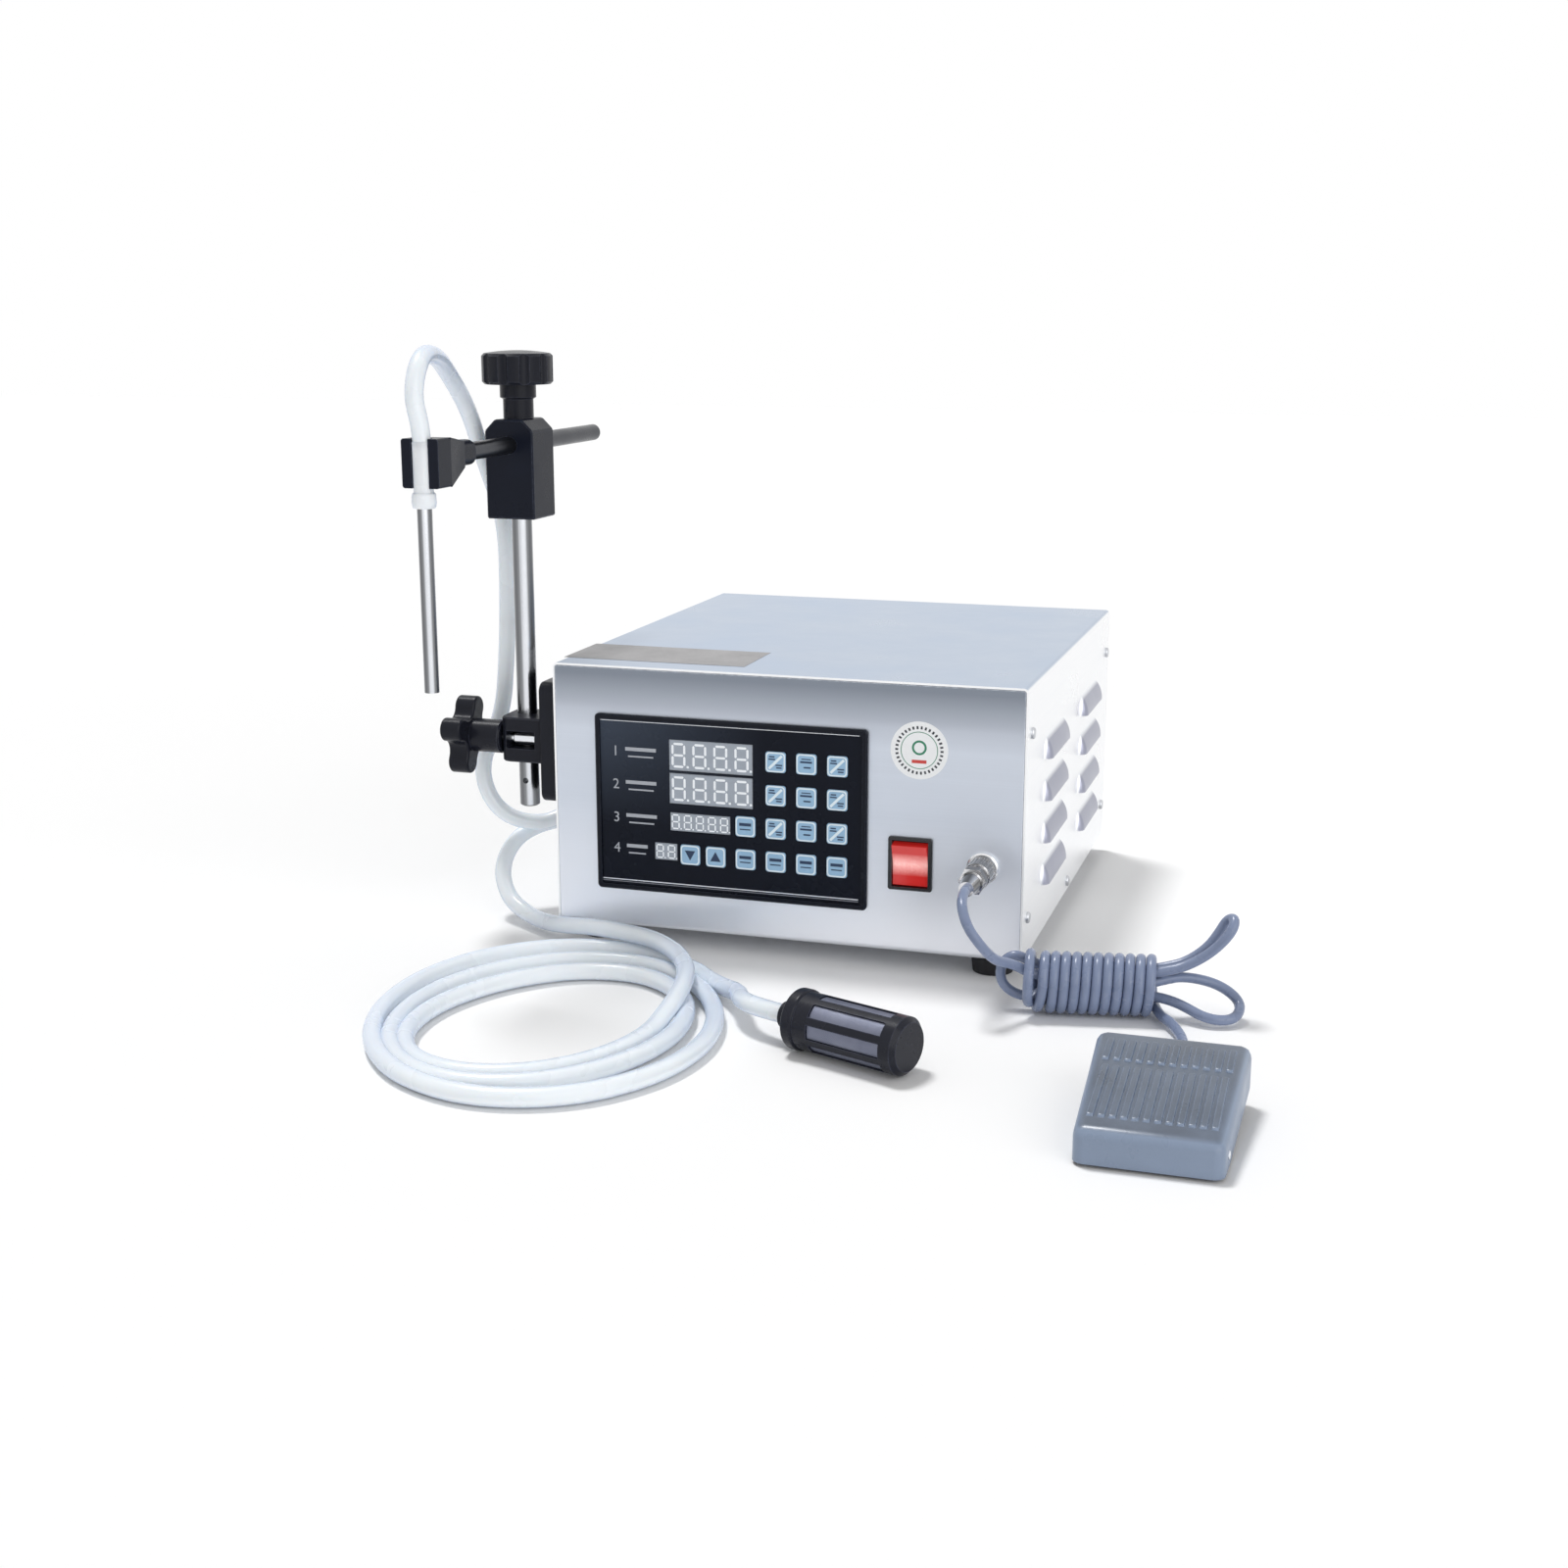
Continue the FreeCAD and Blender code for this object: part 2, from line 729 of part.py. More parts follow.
def louvre_hood():
    """A pressed hood on the plane x = 0, open at its lower edge, with quarter-round ends."""
    inside = -COVER_T
    outer = Part.Arc(V(0, 0, LOUVRE_H), V(LOUVRE_OUT * 0.72, 0, LOUVRE_H * 0.58), V(LOUVRE_OUT, 0, 0))
    inner = Part.Arc(
        V(LOUVRE_OUT - LOUVRE_SKIN, 0, 0),
        V((LOUVRE_OUT - LOUVRE_SKIN) * 0.62, 0, LOUVRE_H * 0.52),
        V(inside, 0, LOUVRE_H - 2 * LOUVRE_SKIN),
    )
    profile = Part.Face(
        Part.Wire(
            [
                outer.toShape(),
                Part.LineSegment(V(LOUVRE_OUT, 0, 0), V(LOUVRE_OUT - LOUVRE_SKIN, 0, 0)).toShape(),
                inner.toShape(),
                Part.LineSegment(
                    V(inside, 0, LOUVRE_H - 2 * LOUVRE_SKIN), V(inside, 0, LOUVRE_H)
                ).toShape(),
                Part.LineSegment(V(inside, 0, LOUVRE_H), V(0, 0, LOUVRE_H)).toShape(),
            ]
        )
    )
    reach = LOUVRE_OUT - inside
    straight = LOUVRE_L / 2 - reach
    middle = profile.translated(V(0, -straight, 0)).extrude(V(0, 2 * straight, 0))
    far_end = profile.translated(V(0, straight, 0)).revolve(V(inside, straight, 0), Z_AXIS, 90)
    near_end = profile.translated(V(0, -straight, 0)).revolve(V(inside, -straight, 0), Z_AXIS, -90)
    return middle.fuse([far_end, near_end])


def top_cover():
    """Top and both sides from one bent sheet, with pressed louvres."""
    outer = box(LEFT, FRONT, BASE, RIGHT, BACK, TOP)
    outer = outer.makeFillet(BEND_R, edges_along(outer, Y_AXIS, lambda c: c.z > TOP - 1))
    inner = box(LEFT + COVER_T, FRONT - 1, BASE - 1, RIGHT - COVER_T, BACK + 1, TOP - COVER_T)
    inner = inner.makeFillet(
        BEND_R - COVER_T, edges_along(inner, Y_AXIS, lambda c: c.z > TOP - COVER_T - 1)
    )
    cover = outer.cut(inner)
    slot_half = LOUVRE_L / 2 - LOUVRE_OUT
    cuts, hoods = [], []
    hood = louvre_hood()
    for y, z in louvre_places():
        cuts.append(
            box(LEFT - 1, y - slot_half, z, RIGHT + 1, y + slot_half, z + LOUVRE_H - 2 * LOUVRE_SKIN)
        )
        hoods.append(hood.translated(V(RIGHT, y, z)))
        turned = hood.mirror(V(0, 0, 0), X_AXIS)
        hoods.append(turned.translated(V(LEFT, y, z)))
    cuts += screw_holes()
    return cover.cut(cuts).fuse(hoods).removeSplitter()


def cover_screws():
    """Pan head screws with a cross recess."""
    screws = []
    for side, y, z in screw_seats():
        seat = V(side * CASE_W / 2, y, z)
        out = V(side, 0, 0)
        head = rod_between(seat, seat + out * SCREW_HEAD_H, SCREW_HEAD_R)
        rim = [e for e in head.Edges if abs(e.CenterOfMass.x) > CASE_W / 2 + SCREW_HEAD_H / 2]
        head = head.makeFillet(SCREW_HEAD_H * 0.6, [e for e in rim if isinstance(e.Curve, Part.Circle)])
        shank = rod_between(seat, seat - out * SCREW_LEN, SCREW_R)
        screws.append(joined([head, shank]))
    return Part.makeCompound(screws)


def foot_places():
    reach_x, reach_y = CASE_W / 2 - FOOT_INSET, CASE_D / 2 - FOOT_INSET
    return [(sx * reach_x, sy * reach_y) for sx in (-1, 1) for sy in (-1, 1)]


def rubber_feet():
    feet = []
    for x, y in foot_places():
        foot = Part.makeCone(FOOT_R - FOOT_TAPER, FOOT_R, FOOT_H, V(x, y, 0))
        recess = Part.makeCylinder(FOOT_SCREW_R, FOOT_SCREW_DEEP, V(x, y, 0))
        feet.append(foot.cut(recess))
    return Part.makeCompound(feet)


# Control panel


def key_places():
    """Name, x and z of each key."""
    places = []
    for row in range(KEY_ROWS):
        for column in range(KEY_COLUMNS):
            places.append((KEY_COLUMN_X[column], KEY_ROW_Z[row]))
    extra_x = display_edge(2) + EXTRA_KEY_GAP + KEY_SIZE / 2
    for row in range(EXTRA_KEYS):
        places.append((extra_x, KEY_ROW_Z[KEY_ROWS - EXTRA_KEYS + row]))
    first_arrow_x = display_edge(3) + ARROW_KEY_GAP + KEY_SIZE / 2
    for n in range(ARROW_KEYS):
        places.append((first_arrow_x + ARROW_KEY_PITCH * n, KEY_ROW_Z[KEY_ROWS - 1]))
    return places


def display_edge(number):
    """Where a display ends on the right."""
    _, start, _, width, _ = DISPLAYS[number]
    return DISPLAY_LEFT + start + width


def display_places():
    """Middle x and z, width and height of each display."""
    return [
        (DISPLAY_LEFT + start + width / 2, KEY_ROW_Z[row] + lift, width, height)
        for row, start, lift, width, height in DISPLAYS
    ]


def panel_frame():
    outer = plate_on_front(PANEL_X, PANEL_MID_Z, PANEL_W, PANEL_H, FRONT - FRAME_T, FRONT, PANEL_CORNER)
    front_edges = [e for e in outer.Edges if e.CenterOfMass.y < FRONT - FRAME_T + 0.01]
    outer = outer.makeChamfer(FRAME_T * 0.3, front_edges)
    inner = plate_on_front(
        PANEL_X,
        PANEL_MID_Z,
        PANEL_W - 2 * FRAME_W,
        PANEL_H - 2 * FRAME_W,
        FRONT - FRAME_T - 1,
        FRONT + 1,
        PANEL_CORNER / 2,
    )
    return outer.cut(inner)


def panel_overlay():
    """The printed front sheet, with windows for the displays and the keys."""
    width = PANEL_W - 2 * FRAME_W - 2 * SEAT_GAP
    height = PANEL_H - 2 * FRAME_W - 2 * SEAT_GAP
    sheet = plate_on_front(
        PANEL_X, PANEL_MID_Z, width, height, FRONT - OVERLAY_T, FRONT, PANEL_CORNER / 2
    )
    cuts = []
    for x, z, w, h in display_places():
        cuts.append(plate_on_front(x, z, w, h, FRONT - OVERLAY_T - 1, FRONT + 1))
    size = KEY_SIZE + 2 * KEY_GAP
    for x, z in key_places():
        cuts.append(plate_on_front(x, z, size, size, FRONT - OVERLAY_T - 1, FRONT + 1, KEY_CORNER))
    return sheet.cut(cuts)


def key(x, z):
    near = FRONT - OVERLAY_T - KEY_PROUD
    cap = plate_on_front(x, z, KEY_SIZE, KEY_SIZE, near, near + KEY_T, KEY_CORNER)
    front_edges = [e for e in cap.Edges if e.CenterOfMass.y < near + 0.01]
    return cap.makeChamfer(KEY_PROUD * 0.5, front_edges)


def digit_displays():
    """The seven-segment modules that stand in the overlay's windows."""
    modules = []
    near = FRONT - OVERLAY_T + DISPLAY_BACK
    far = FRONT + BOARD_BEHIND
    for x, z, w, h in display_places():
        modules.append(plate_on_front(x, z, w - 2 * DISPLAY_GAP, h - 2 * DISPLAY_GAP, near, far))
    return Part.makeCompound(modules)


def control_board():
    """Printed board behind the panel, with its posts and the switches under the keys."""
    width = PANEL_W - 2 * BOARD_MARGIN
    height = PANEL_H - 2 * BOARD_MARGIN
    near = FRONT + BOARD_BEHIND
    parts = [plate_on_front(PANEL_X, PANEL_MID_Z, width, height, near, near + BOARD_T)]
    inside = FRONT + CHASSIS_T
    post_x, post_z = width / 2 - POST_R + 1, height / 2 - POST_R + 1
    for sx in (-1, 1):
        for sz in (-1, 1):
            x, z = PANEL_X + sx * post_x, PANEL_MID_Z + sz * post_z
            parts.append(rod_between(V(x, inside, z), V(x, near + BOARD_T, z), POST_R))
    stem_end = FRONT - OVERLAY_T - KEY_PROUD + KEY_T + KEY_TRAVEL + SEAT_GAP
    for x, z in key_places():
        parts.append(plate_on_front(x, z, TACT_SIZE, TACT_SIZE, near - TACT_H, near))
        parts.append(rod_between(V(x, stem_end, z), V(x, near, z), TACT_STEM_R))
    return joined(parts)


# Rocker switch


def switch_housing():
    z = BASE + SWITCH_Z
    bezel = plate_on_front(
        SWITCH_X, z, SWITCH_W, SWITCH_H, FRONT - SWITCH_BEZEL_T, FRONT, SWITCH_CORNER
    )
    rim = [e for e in bezel.Edges if e.CenterOfMass.y < FRONT - SWITCH_BEZEL_T + 0.01]
    bezel = bezel.makeFillet(SWITCH_BEZEL_T * 0.4, rim)
    body_w = SWITCH_W - SWITCH_WALL - 2 * SEAT_GAP
    body_h = SWITCH_H - SWITCH_WALL - 2 * SEAT_GAP
    body = plate_on_front(SWITCH_X, z, body_w, body_h, FRONT, FRONT + SWITCH_DEPTH)
    hollow_w = body_w - SWITCH_WALL
    hollow_h = 2 * rocker_reach() + 2 * ROCKER_GAP
    pivot = FRONT + ROCKER_PIVOT_IN
    bottom = pivot + ROCKER_UNDER + 2.5
    hollow = plate_on_front(SWITCH_X, z, hollow_w, hollow_h, FRONT - SWITCH_BEZEL_T - 1, bottom)
    housing = joined([bezel, body]).cut(hollow)
    pin = rod_between(
        V(SWITCH_X - hollow_w / 2 - 0.5, pivot, z), V(SWITCH_X + hollow_w / 2 + 0.5, pivot, z), ROCKER_PIN_R
    )
    blades = []
    for n in (-1, 0, 1):
        blades.append(
            plate_on_front(
                SWITCH_X, z + 8 * n, 6.0, 0.8, FRONT + SWITCH_DEPTH - 0.5, FRONT + SWITCH_DEPTH + 8
            )
        )
    return joined([housing, pin] + blades)


def rocker_reach():
    tilt = math.radians(ROCKER_TILT)
    return ROCKER_HALF * math.cos(tilt) + ROCKER_TIP * math.sin(tilt)


def switch_rocker():
    """A shallow V face on a round belly, tilted to one side."""
    z0, pivot = BASE + SWITCH_Z, FRONT + ROCKER_PIVOT_IN
    tip = pivot - ROCKER_TIP
    valley = pivot - ROCKER_VALLEY
    belly = pivot + ROCKER_UNDER
    half = ROCKER_HALF
    top = V(0, tip, half)
    low = V(0, tip, -half)
    outline = [
        Part.LineSegment(top, V(0, valley, 0)).toShape(),
        Part.LineSegment(V(0, valley, 0), low).toShape(),
        Part.LineSegment(low, V(0, pivot, -half)).toShape(),
        Part.Arc(V(0, pivot, -half), V(0, belly, 0), V(0, pivot, half)).toShape(),
        Part.LineSegment(V(0, pivot, half), top).toShape(),
    ]
    width = SWITCH_W - 2 * SWITCH_WALL - 2 * SEAT_GAP - 2 * ROCKER_GAP
    rocker = Part.Face(Part.Wire(outline)).extrude(V(width, 0, 0))
    rocker = rocker.makeFillet(0.6, edges_along(rocker, X_AXIS, lambda c: c.y < tip + 0.5))
    rocker.translate(V(SWITCH_X - width / 2, 0, z0))
    bore = rod_between(
        V(SWITCH_X - width, pivot, z0), V(SWITCH_X + width, pivot, z0), ROCKER_PIN_R + RUN_GAP
    )
    rocker = rocker.cut(bore)
    rocker.rotate(V(SWITCH_X, pivot, z0), X_AXIS, ROCKER_TILT)
    return rocker


# Foot switch socket, plug and cable


def on_socket(distance):
    """The point on the socket's axis at this distance in front of the case."""
    return V(SOCKET_X, FRONT - distance, BASE + SOCKET_Z)


def foot_socket():
    flange = rod_between(on_socket(0), on_socket(SOCKET_FLANGE_T), SOCKET_FLANGE_R)
    flange = flange.makeChamfer(0.8, [e for e in flange.Edges if e.CenterOfMass.y < FRONT - 1])
    barrel = rod_between(on_socket(SOCKET_FLANGE_T), on_socket(-SOCKET_INSIDE), SOCKET_R)
    nut = hexagon(on_socket(-CHASSIS_T), SOCKET_FLANGE_R - 1, SOCKET_NUT_T, Y_AXIS)
    return joined([flange, barrel, nut])


def foot_plug():
    start = SOCKET_FLANGE_T
    core = rod_between(on_socket(start), on_socket(start + RING_LEN + RING_LIP), PLUG_CORE_R)
    body_at = start + RING_LEN + RING_LIP
    body = rod_between(on_socket(body_at), on_socket(body_at + PLUG_BODY_LEN), PLUG_BODY_R)
    body = body.makeChamfer(0.8, [e for e in body.Edges if isinstance(e.Curve, Part.Circle)])
    flats = hexagon(
        on_socket(body_at + PLUG_BODY_LEN * 0.35), PLUG_BODY_R + 0.5, PLUG_BODY_LEN * 0.4, V(0, -1, 0)
    )
    tail_at = body_at + PLUG_BODY_LEN
    tail = Part.makeCone(PLUG_BODY_R - 0.8, PLUG_TAIL_R, PLUG_TAIL_LEN, on_socket(tail_at), V(0, -1, 0))
    return joined([core, body, flats, tail])


def plug_ring():
    """The knurled ring that locks the plug; it turns on the plug's core."""
    near = SOCKET_FLANGE_T + SEAT_GAP
    far = SOCKET_FLANGE_T + RING_LEN + RING_LIP - SEAT_GAP
    ring = rod_between(on_socket(near), on_socket(far), RING_R)
    ring = ring.makeChamfer(0.7, [e for e in ring.Edges if isinstance(e.Curve, Part.Circle)])
    bore = rod_between(on_socket(near - 1), on_socket(far + 1), PLUG_CORE_R + RUN_GAP)
    cuts = [bore]
    for n in range(RING_SLOTS):
        angle = 2 * math.pi * n / RING_SLOTS
        offset = V(math.cos(angle), 0, math.sin(angle)) * (RING_R + RING_SLOT_DEEP)
        cuts.append(
            rod_between(on_socket(near + 2) + offset, on_socket(far - 2) + offset, 2 * RING_SLOT_DEEP)
        )
    return ring.cut(cuts)


def foot_cable_hank():
    """The wound bundle and the loops that stand out of its ends."""
    middle = V(HANK_AT[0], HANK_AT[1], HANK_H / 2)
    ring = Part.Ellipse(middle + V(0, 0, HANK_H / 2), middle + V(0, HANK_W / 2, 0), middle)
    drum = Part.Face(Part.Wire([ring.toShape()])).extrude(V(HANK_LEN, 0, 0))
    drum.translate(V(-HANK_LEN / 2, 0, 0))
    drum.rotate(middle, Z_AXIS, HANK_TURN)
    loops = [
        cord(HANK_LOOP_LEFT, CABLE_R, "hank loop left")[0],
        cord(HANK_LOOP_RIGHT, CABLE_R, "hank loop right")[0],
        cord(HANK_LOOP_UP, CABLE_R * HANK_LOOP_WIDE, "hank loop up")[0],
    ]
    leave = channel(CABLE_TAIL_ROUTE[:4], CABLE_R)
    return joined([drum.cut(leave)] + loops)


# Foot pedal


def pedal_side_profile(inset, low_extra):
    """Outline of the treadle from the side: low at the front, high at the back."""
    yf, yb = PEDAL_YF + inset, PEDAL_YB - inset
    slope = (PEDAL_BACK_H - PEDAL_FRONT_H) / PEDAL_L
    front_top = PEDAL_FRONT_H - inset
    back_top = PEDAL_BACK_H - inset
    low = PEDAL_FLOOR_GAP - low_extra
    back_low = PEDAL_BACK_H - PEDAL_SKIRT - low_extra
    points = [
        V(0, yf, low),
        V(0, yf, front_top),
        V(0, yb, back_top),
        V(0, yb, back_low),
        V(0, yf + PEDAL_NOSE_L, low),
    ]
    return points, slope


def pedal_treadle():
    """The hollow ribbed tread, closed at the front and open below."""
    outer_points, slope = pedal_side_profile(0, 0)
    left = PEDAL_X - PEDAL_W / 2
    outer = face_of(outer_points).extrude(V(PEDAL_W, 0, 0))
    outer.translate(V(left, 0, 0))
    corners = edges_along(outer, X_AXIS, lambda c: c.z > PEDAL_FRONT_H - 2)
    outer = outer.makeFillet(PEDAL_NOSE_R, corners)
    rim = [e for e in outer.Edges if abs(abs(e.CenterOfMass.x - PEDAL_X) - PEDAL_W / 2) < 0.01]
    outer = outer.makeFillet(PEDAL_SIDE_R, [e for e in rim if e.CenterOfMass.z > PEDAL_FRONT_H * 0.75])
    inner_points, _ = pedal_side_profile(PEDAL_WALL, 2 * PEDAL_WALL)
    inner = face_of(inner_points).extrude(V(PEDAL_W - 2 * PEDAL_WALL, 0, 0))
    inner.translate(V(left + PEDAL_WALL, 0, 0))
    bore = rod_between(
        V(left - 1, PEDAL_PIN_Y, PEDAL_PIN_Z),
        V(left + PEDAL_W + 1, PEDAL_PIN_Y, PEDAL_PIN_Z),
        PEDAL_PIN_R + RUN_GAP,
    )
    half_notch = PEDAL_NOTCH_W / 2
    notch = box(PEDAL_X - half_notch, PEDAL_YB - 5, 0, PEDAL_X + half_notch, PEDAL_YB + 1, PEDAL_NOTCH_TOP)
    shell = outer.cut([inner, bore, notch])
    ribs = []
    rows = (
        (PEDAL_YF + RIB_START, RIB_FRONT_L), (PEDAL_YF + RIB_START + RIB_FRONT_L + RIB_SPACE, RIB_BACK_L)
    )
    for n in range(RIB_COUNT):
        x = PEDAL_X + (n - (RIB_COUNT - 1) / 2) * RIB_PITCH
        for y, length in rows:
            base_z = PEDAL_FRONT_H + slope * (y - PEDAL_YF)
            end_z = base_z + slope * length
            side = [
                V(x - RIB_W / 2, y, base_z - RIB_H),
                V(x - RIB_W / 2, y, base_z + RIB_H * 0.6),
                V(x - RIB_W / 2, y + RIB_H, base_z + RIB_H),
                V(x - RIB_W / 2, y + length - RIB_H, end_z + RIB_H),
                V(x - RIB_W / 2, y + length, end_z + RIB_H * 0.6),
                V(x - RIB_W / 2, y + length, end_z - RIB_H),
            ]
            ribs.append(face_of(side).extrude(V(RIB_W, 0, 0)))
    return shell.fuse(ribs).removeSplitter()


def pedal_base():
    """Sole plate with two ears for the pin, and the cable's gland at the back."""
    inside = PEDAL_W / 2 - PEDAL_WALL - PEDAL_SIDE_GAP
    front = PEDAL_YF + PEDAL_WALL + PEDAL_SIDE_GAP + 1
    back = PEDAL_YB - PEDAL_WALL - PEDAL_SIDE_GAP
    sole = box(PEDAL_X - inside, front, 0, PEDAL_X + inside, back, PEDAL_SOLE_T)
    sole = sole.makeFillet(3.0, edges_along(sole, Z_AXIS, lambda c: True))
    parts = [sole]
    ear_top = PEDAL_PIN_Z + PEDAL_PIN_R + 2.5
    for side in (-1, 1):
        outer_x = PEDAL_X + side * inside
        inner_x = outer_x - side * PEDAL_EAR_T
        low_x, high_x = min(outer_x, inner_x), max(outer_x, inner_x)
        ear = box(low_x, PEDAL_PIN_Y - 5, 0, high_x, PEDAL_PIN_Y + 5, PEDAL_PIN_Z)
        top = rod_between(V(low_x, PEDAL_PIN_Y, PEDAL_PIN_Z), V(high_x, PEDAL_PIN_Y, PEDAL_PIN_Z), 5.0)
        parts += [ear, top.common(box(low_x, front, 0, high_x, back, ear_top))]
        rail = box(low_x, PEDAL_PIN_Y + 4, 0, high_x, back, PEDAL_RAIL_H)
        parts.append(rail)
    rear = box(PEDAL_X - inside, back - PEDAL_EAR_T, 0, PEDAL_X + inside, back, PEDAL_REAR_H)
    gland = rod_between(
        V(PEDAL_X, back - 1, PEDAL_GLAND_Z), V(
            PEDAL_X, PEDAL_YB + PEDAL_GLAND_OUT, PEDAL_GLAND_Z
        ), PEDAL_GLAND_R
    )
    tip = [e for e in gland.Edges if e.CenterOfMass.y > PEDAL_YB + PEDAL_GLAND_OUT - 0.1]
    gland = gland.makeChamfer(1.0, tip)
    parts += [rear, gland]
    boss = Part.makeCylinder(SPRING_R - SPRING_WIRE_R * 2 - 0.4, 3.0, V(PEDAL_X, SPRING_Y, PEDAL_SOLE_T))
    parts.append(boss)
    base = joined(parts)
    bore = rod_between(
        V(PEDAL_X - PEDAL_W, PEDAL_PIN_Y, PEDAL_PIN_Z),
        V(PEDAL_X + PEDAL_W, PEDAL_PIN_Y, PEDAL_PIN_Z),
        PEDAL_PIN_R + RUN_GAP,
    )
    return base.cut(bore)


def pedal_pin():
    """The steel pin through both sides, a little proud of them."""
    half = PEDAL_W / 2 + PEDAL_PIN_PROUD
    pin = rod_between(
        V(PEDAL_X - half, PEDAL_PIN_Y, PEDAL_PIN_Z), V(
            PEDAL_X + half, PEDAL_PIN_Y, PEDAL_PIN_Z
        ), PEDAL_PIN_R
    )
    return pin.makeChamfer(0.5, [e for e in pin.Edges if isinstance(e.Curve, Part.Circle)])


def tread_underside(y):
    slope = (PEDAL_BACK_H - PEDAL_FRONT_H) / (PEDAL_L - 2 * PEDAL_WALL)
    return PEDAL_FRONT_H - PEDAL_WALL + slope * (y - PEDAL_YF - PEDAL_WALL)


def pedal_spring():
    """The coil spring that lifts the tread."""
    wire = SPRING_WIRE_R
    radius = SPRING_R - wire
    height = tread_underside(SPRING_Y - SPRING_R) - PEDAL_SOLE_T - 2 * wire - 2 * SPRING_SEAT
    steps = round(SPRING_TURNS * SPRING_STEPS)
    points = []
    for n in range(steps + 1):
        angle = 2 * math.pi * n / SPRING_STEPS
        rise = PEDAL_SOLE_T + wire + SPRING_SEAT + height * n / steps
        points.append((PEDAL_X + radius * math.cos(angle), SPRING_Y + radius * math.sin(angle), rise))
    return tube_along(route_paths(points)[0], wire)


def pedal_switch():
    """The small snap switch that the tread presses, with its plunger."""
    x, y = PEDAL_X + MICRO_X, SPRING_Y
    body = box(
        x - MICRO_D / 2,
        y - MICRO_W / 2,
        PEDAL_SOLE_T,
        x + MICRO_D / 2,
        y + MICRO_W / 2,
        PEDAL_SOLE_T + MICRO_H,
    )
    plunger = Part.makeCylinder(1.5, 1.2, V(x, y + 3, PEDAL_SOLE_T + MICRO_H))
    return joined([body, plunger])


# Pole, bracket and clamp


def pole_bracket():
    """Flange on the case's side with a split body that the pole goes through."""
    near, far = POLE_Y - BRACKET_W / 2, POLE_Y + BRACKET_W / 2
    flange = box(LEFT - BRACKET_T, near, BRACKET_LOW, LEFT, far, BRACKET_LOW + BRACKET_H)
    flange = flange.makeFillet(BRACKET_CORNER, edges_along(flange, X_AXIS, lambda c: True))
    rim = [e for e in flange.Edges if e.CenterOfMass.x < LEFT - BRACKET_T + 0.01]
    flange = flange.makeFillet(1.5, rim)
    front, back = POLE_Y - CLAMP_FRONT, POLE_Y + CLAMP_BACK
    body = box(CLAMP_LEFT, front, CLAMP_LOW, LEFT - BRACKET_T + 1, back, CLAMP_LOW + CLAMP_H)
    body = body.makeFillet(CLAMP_ROUND, edges_along(body, Z_AXIS, lambda c: c.x < CLAMP_LEFT + 1))
    edges = [e for e in body.Edges if abs(abs(e.CenterOfMass.z - CLAMP_MID) - CLAMP_H / 2) < 0.01]
    body = body.makeChamfer(0.8, [e for e in edges if e.CenterOfMass.x < LEFT - BRACKET_T])
    window = box(
        CLAMP_LEFT + WINDOW_END,
        front - 1,
        CLAMP_MID - WINDOW_H / 2,
        POLE_X + WINDOW_REACH,
        STUD_Y + SLEEVE_R + 1.0,
        CLAMP_MID + WINDOW_H / 2,
    )
    pole_bore = Part.makeCylinder(
        POLE_R + RUN_GAP, BRACKET_H * 2, V(POLE_X, POLE_Y, BRACKET_LOW - BRACKET_H / 2)
    )
    stud_bore = rod_between(
        V(CLAMP_LEFT - 1, STUD_Y, CLAMP_MID), V(
            CLAMP_LEFT + WINDOW_END + 1, STUD_Y, CLAMP_MID
        ), STUD_R + RUN_GAP
    )
    return joined([flange, body]).cut([window, pole_bore, stud_bore])


def clamp_stud():
    """The threaded stud and the sleeve that it draws against the pole."""
    far = POLE_X + WINDOW_REACH - 1.0
    near = CLAMP_LEFT - SEAT_GAP - STAR_HUB_LEN * 0.75
    stud = rod_between(V(near, STUD_Y, CLAMP_MID), V(far, STUD_Y, CLAMP_MID), STUD_R)
    sleeve = rod_between(V(far - SLEEVE_LEN, STUD_Y, CLAMP_MID), V(far, STUD_Y, CLAMP_MID), SLEEVE_R)
    sleeve = sleeve.makeChamfer(0.6, [e for e in sleeve.Edges if isinstance(e.Curve, Part.Circle)])
    return joined([stud, sleeve])


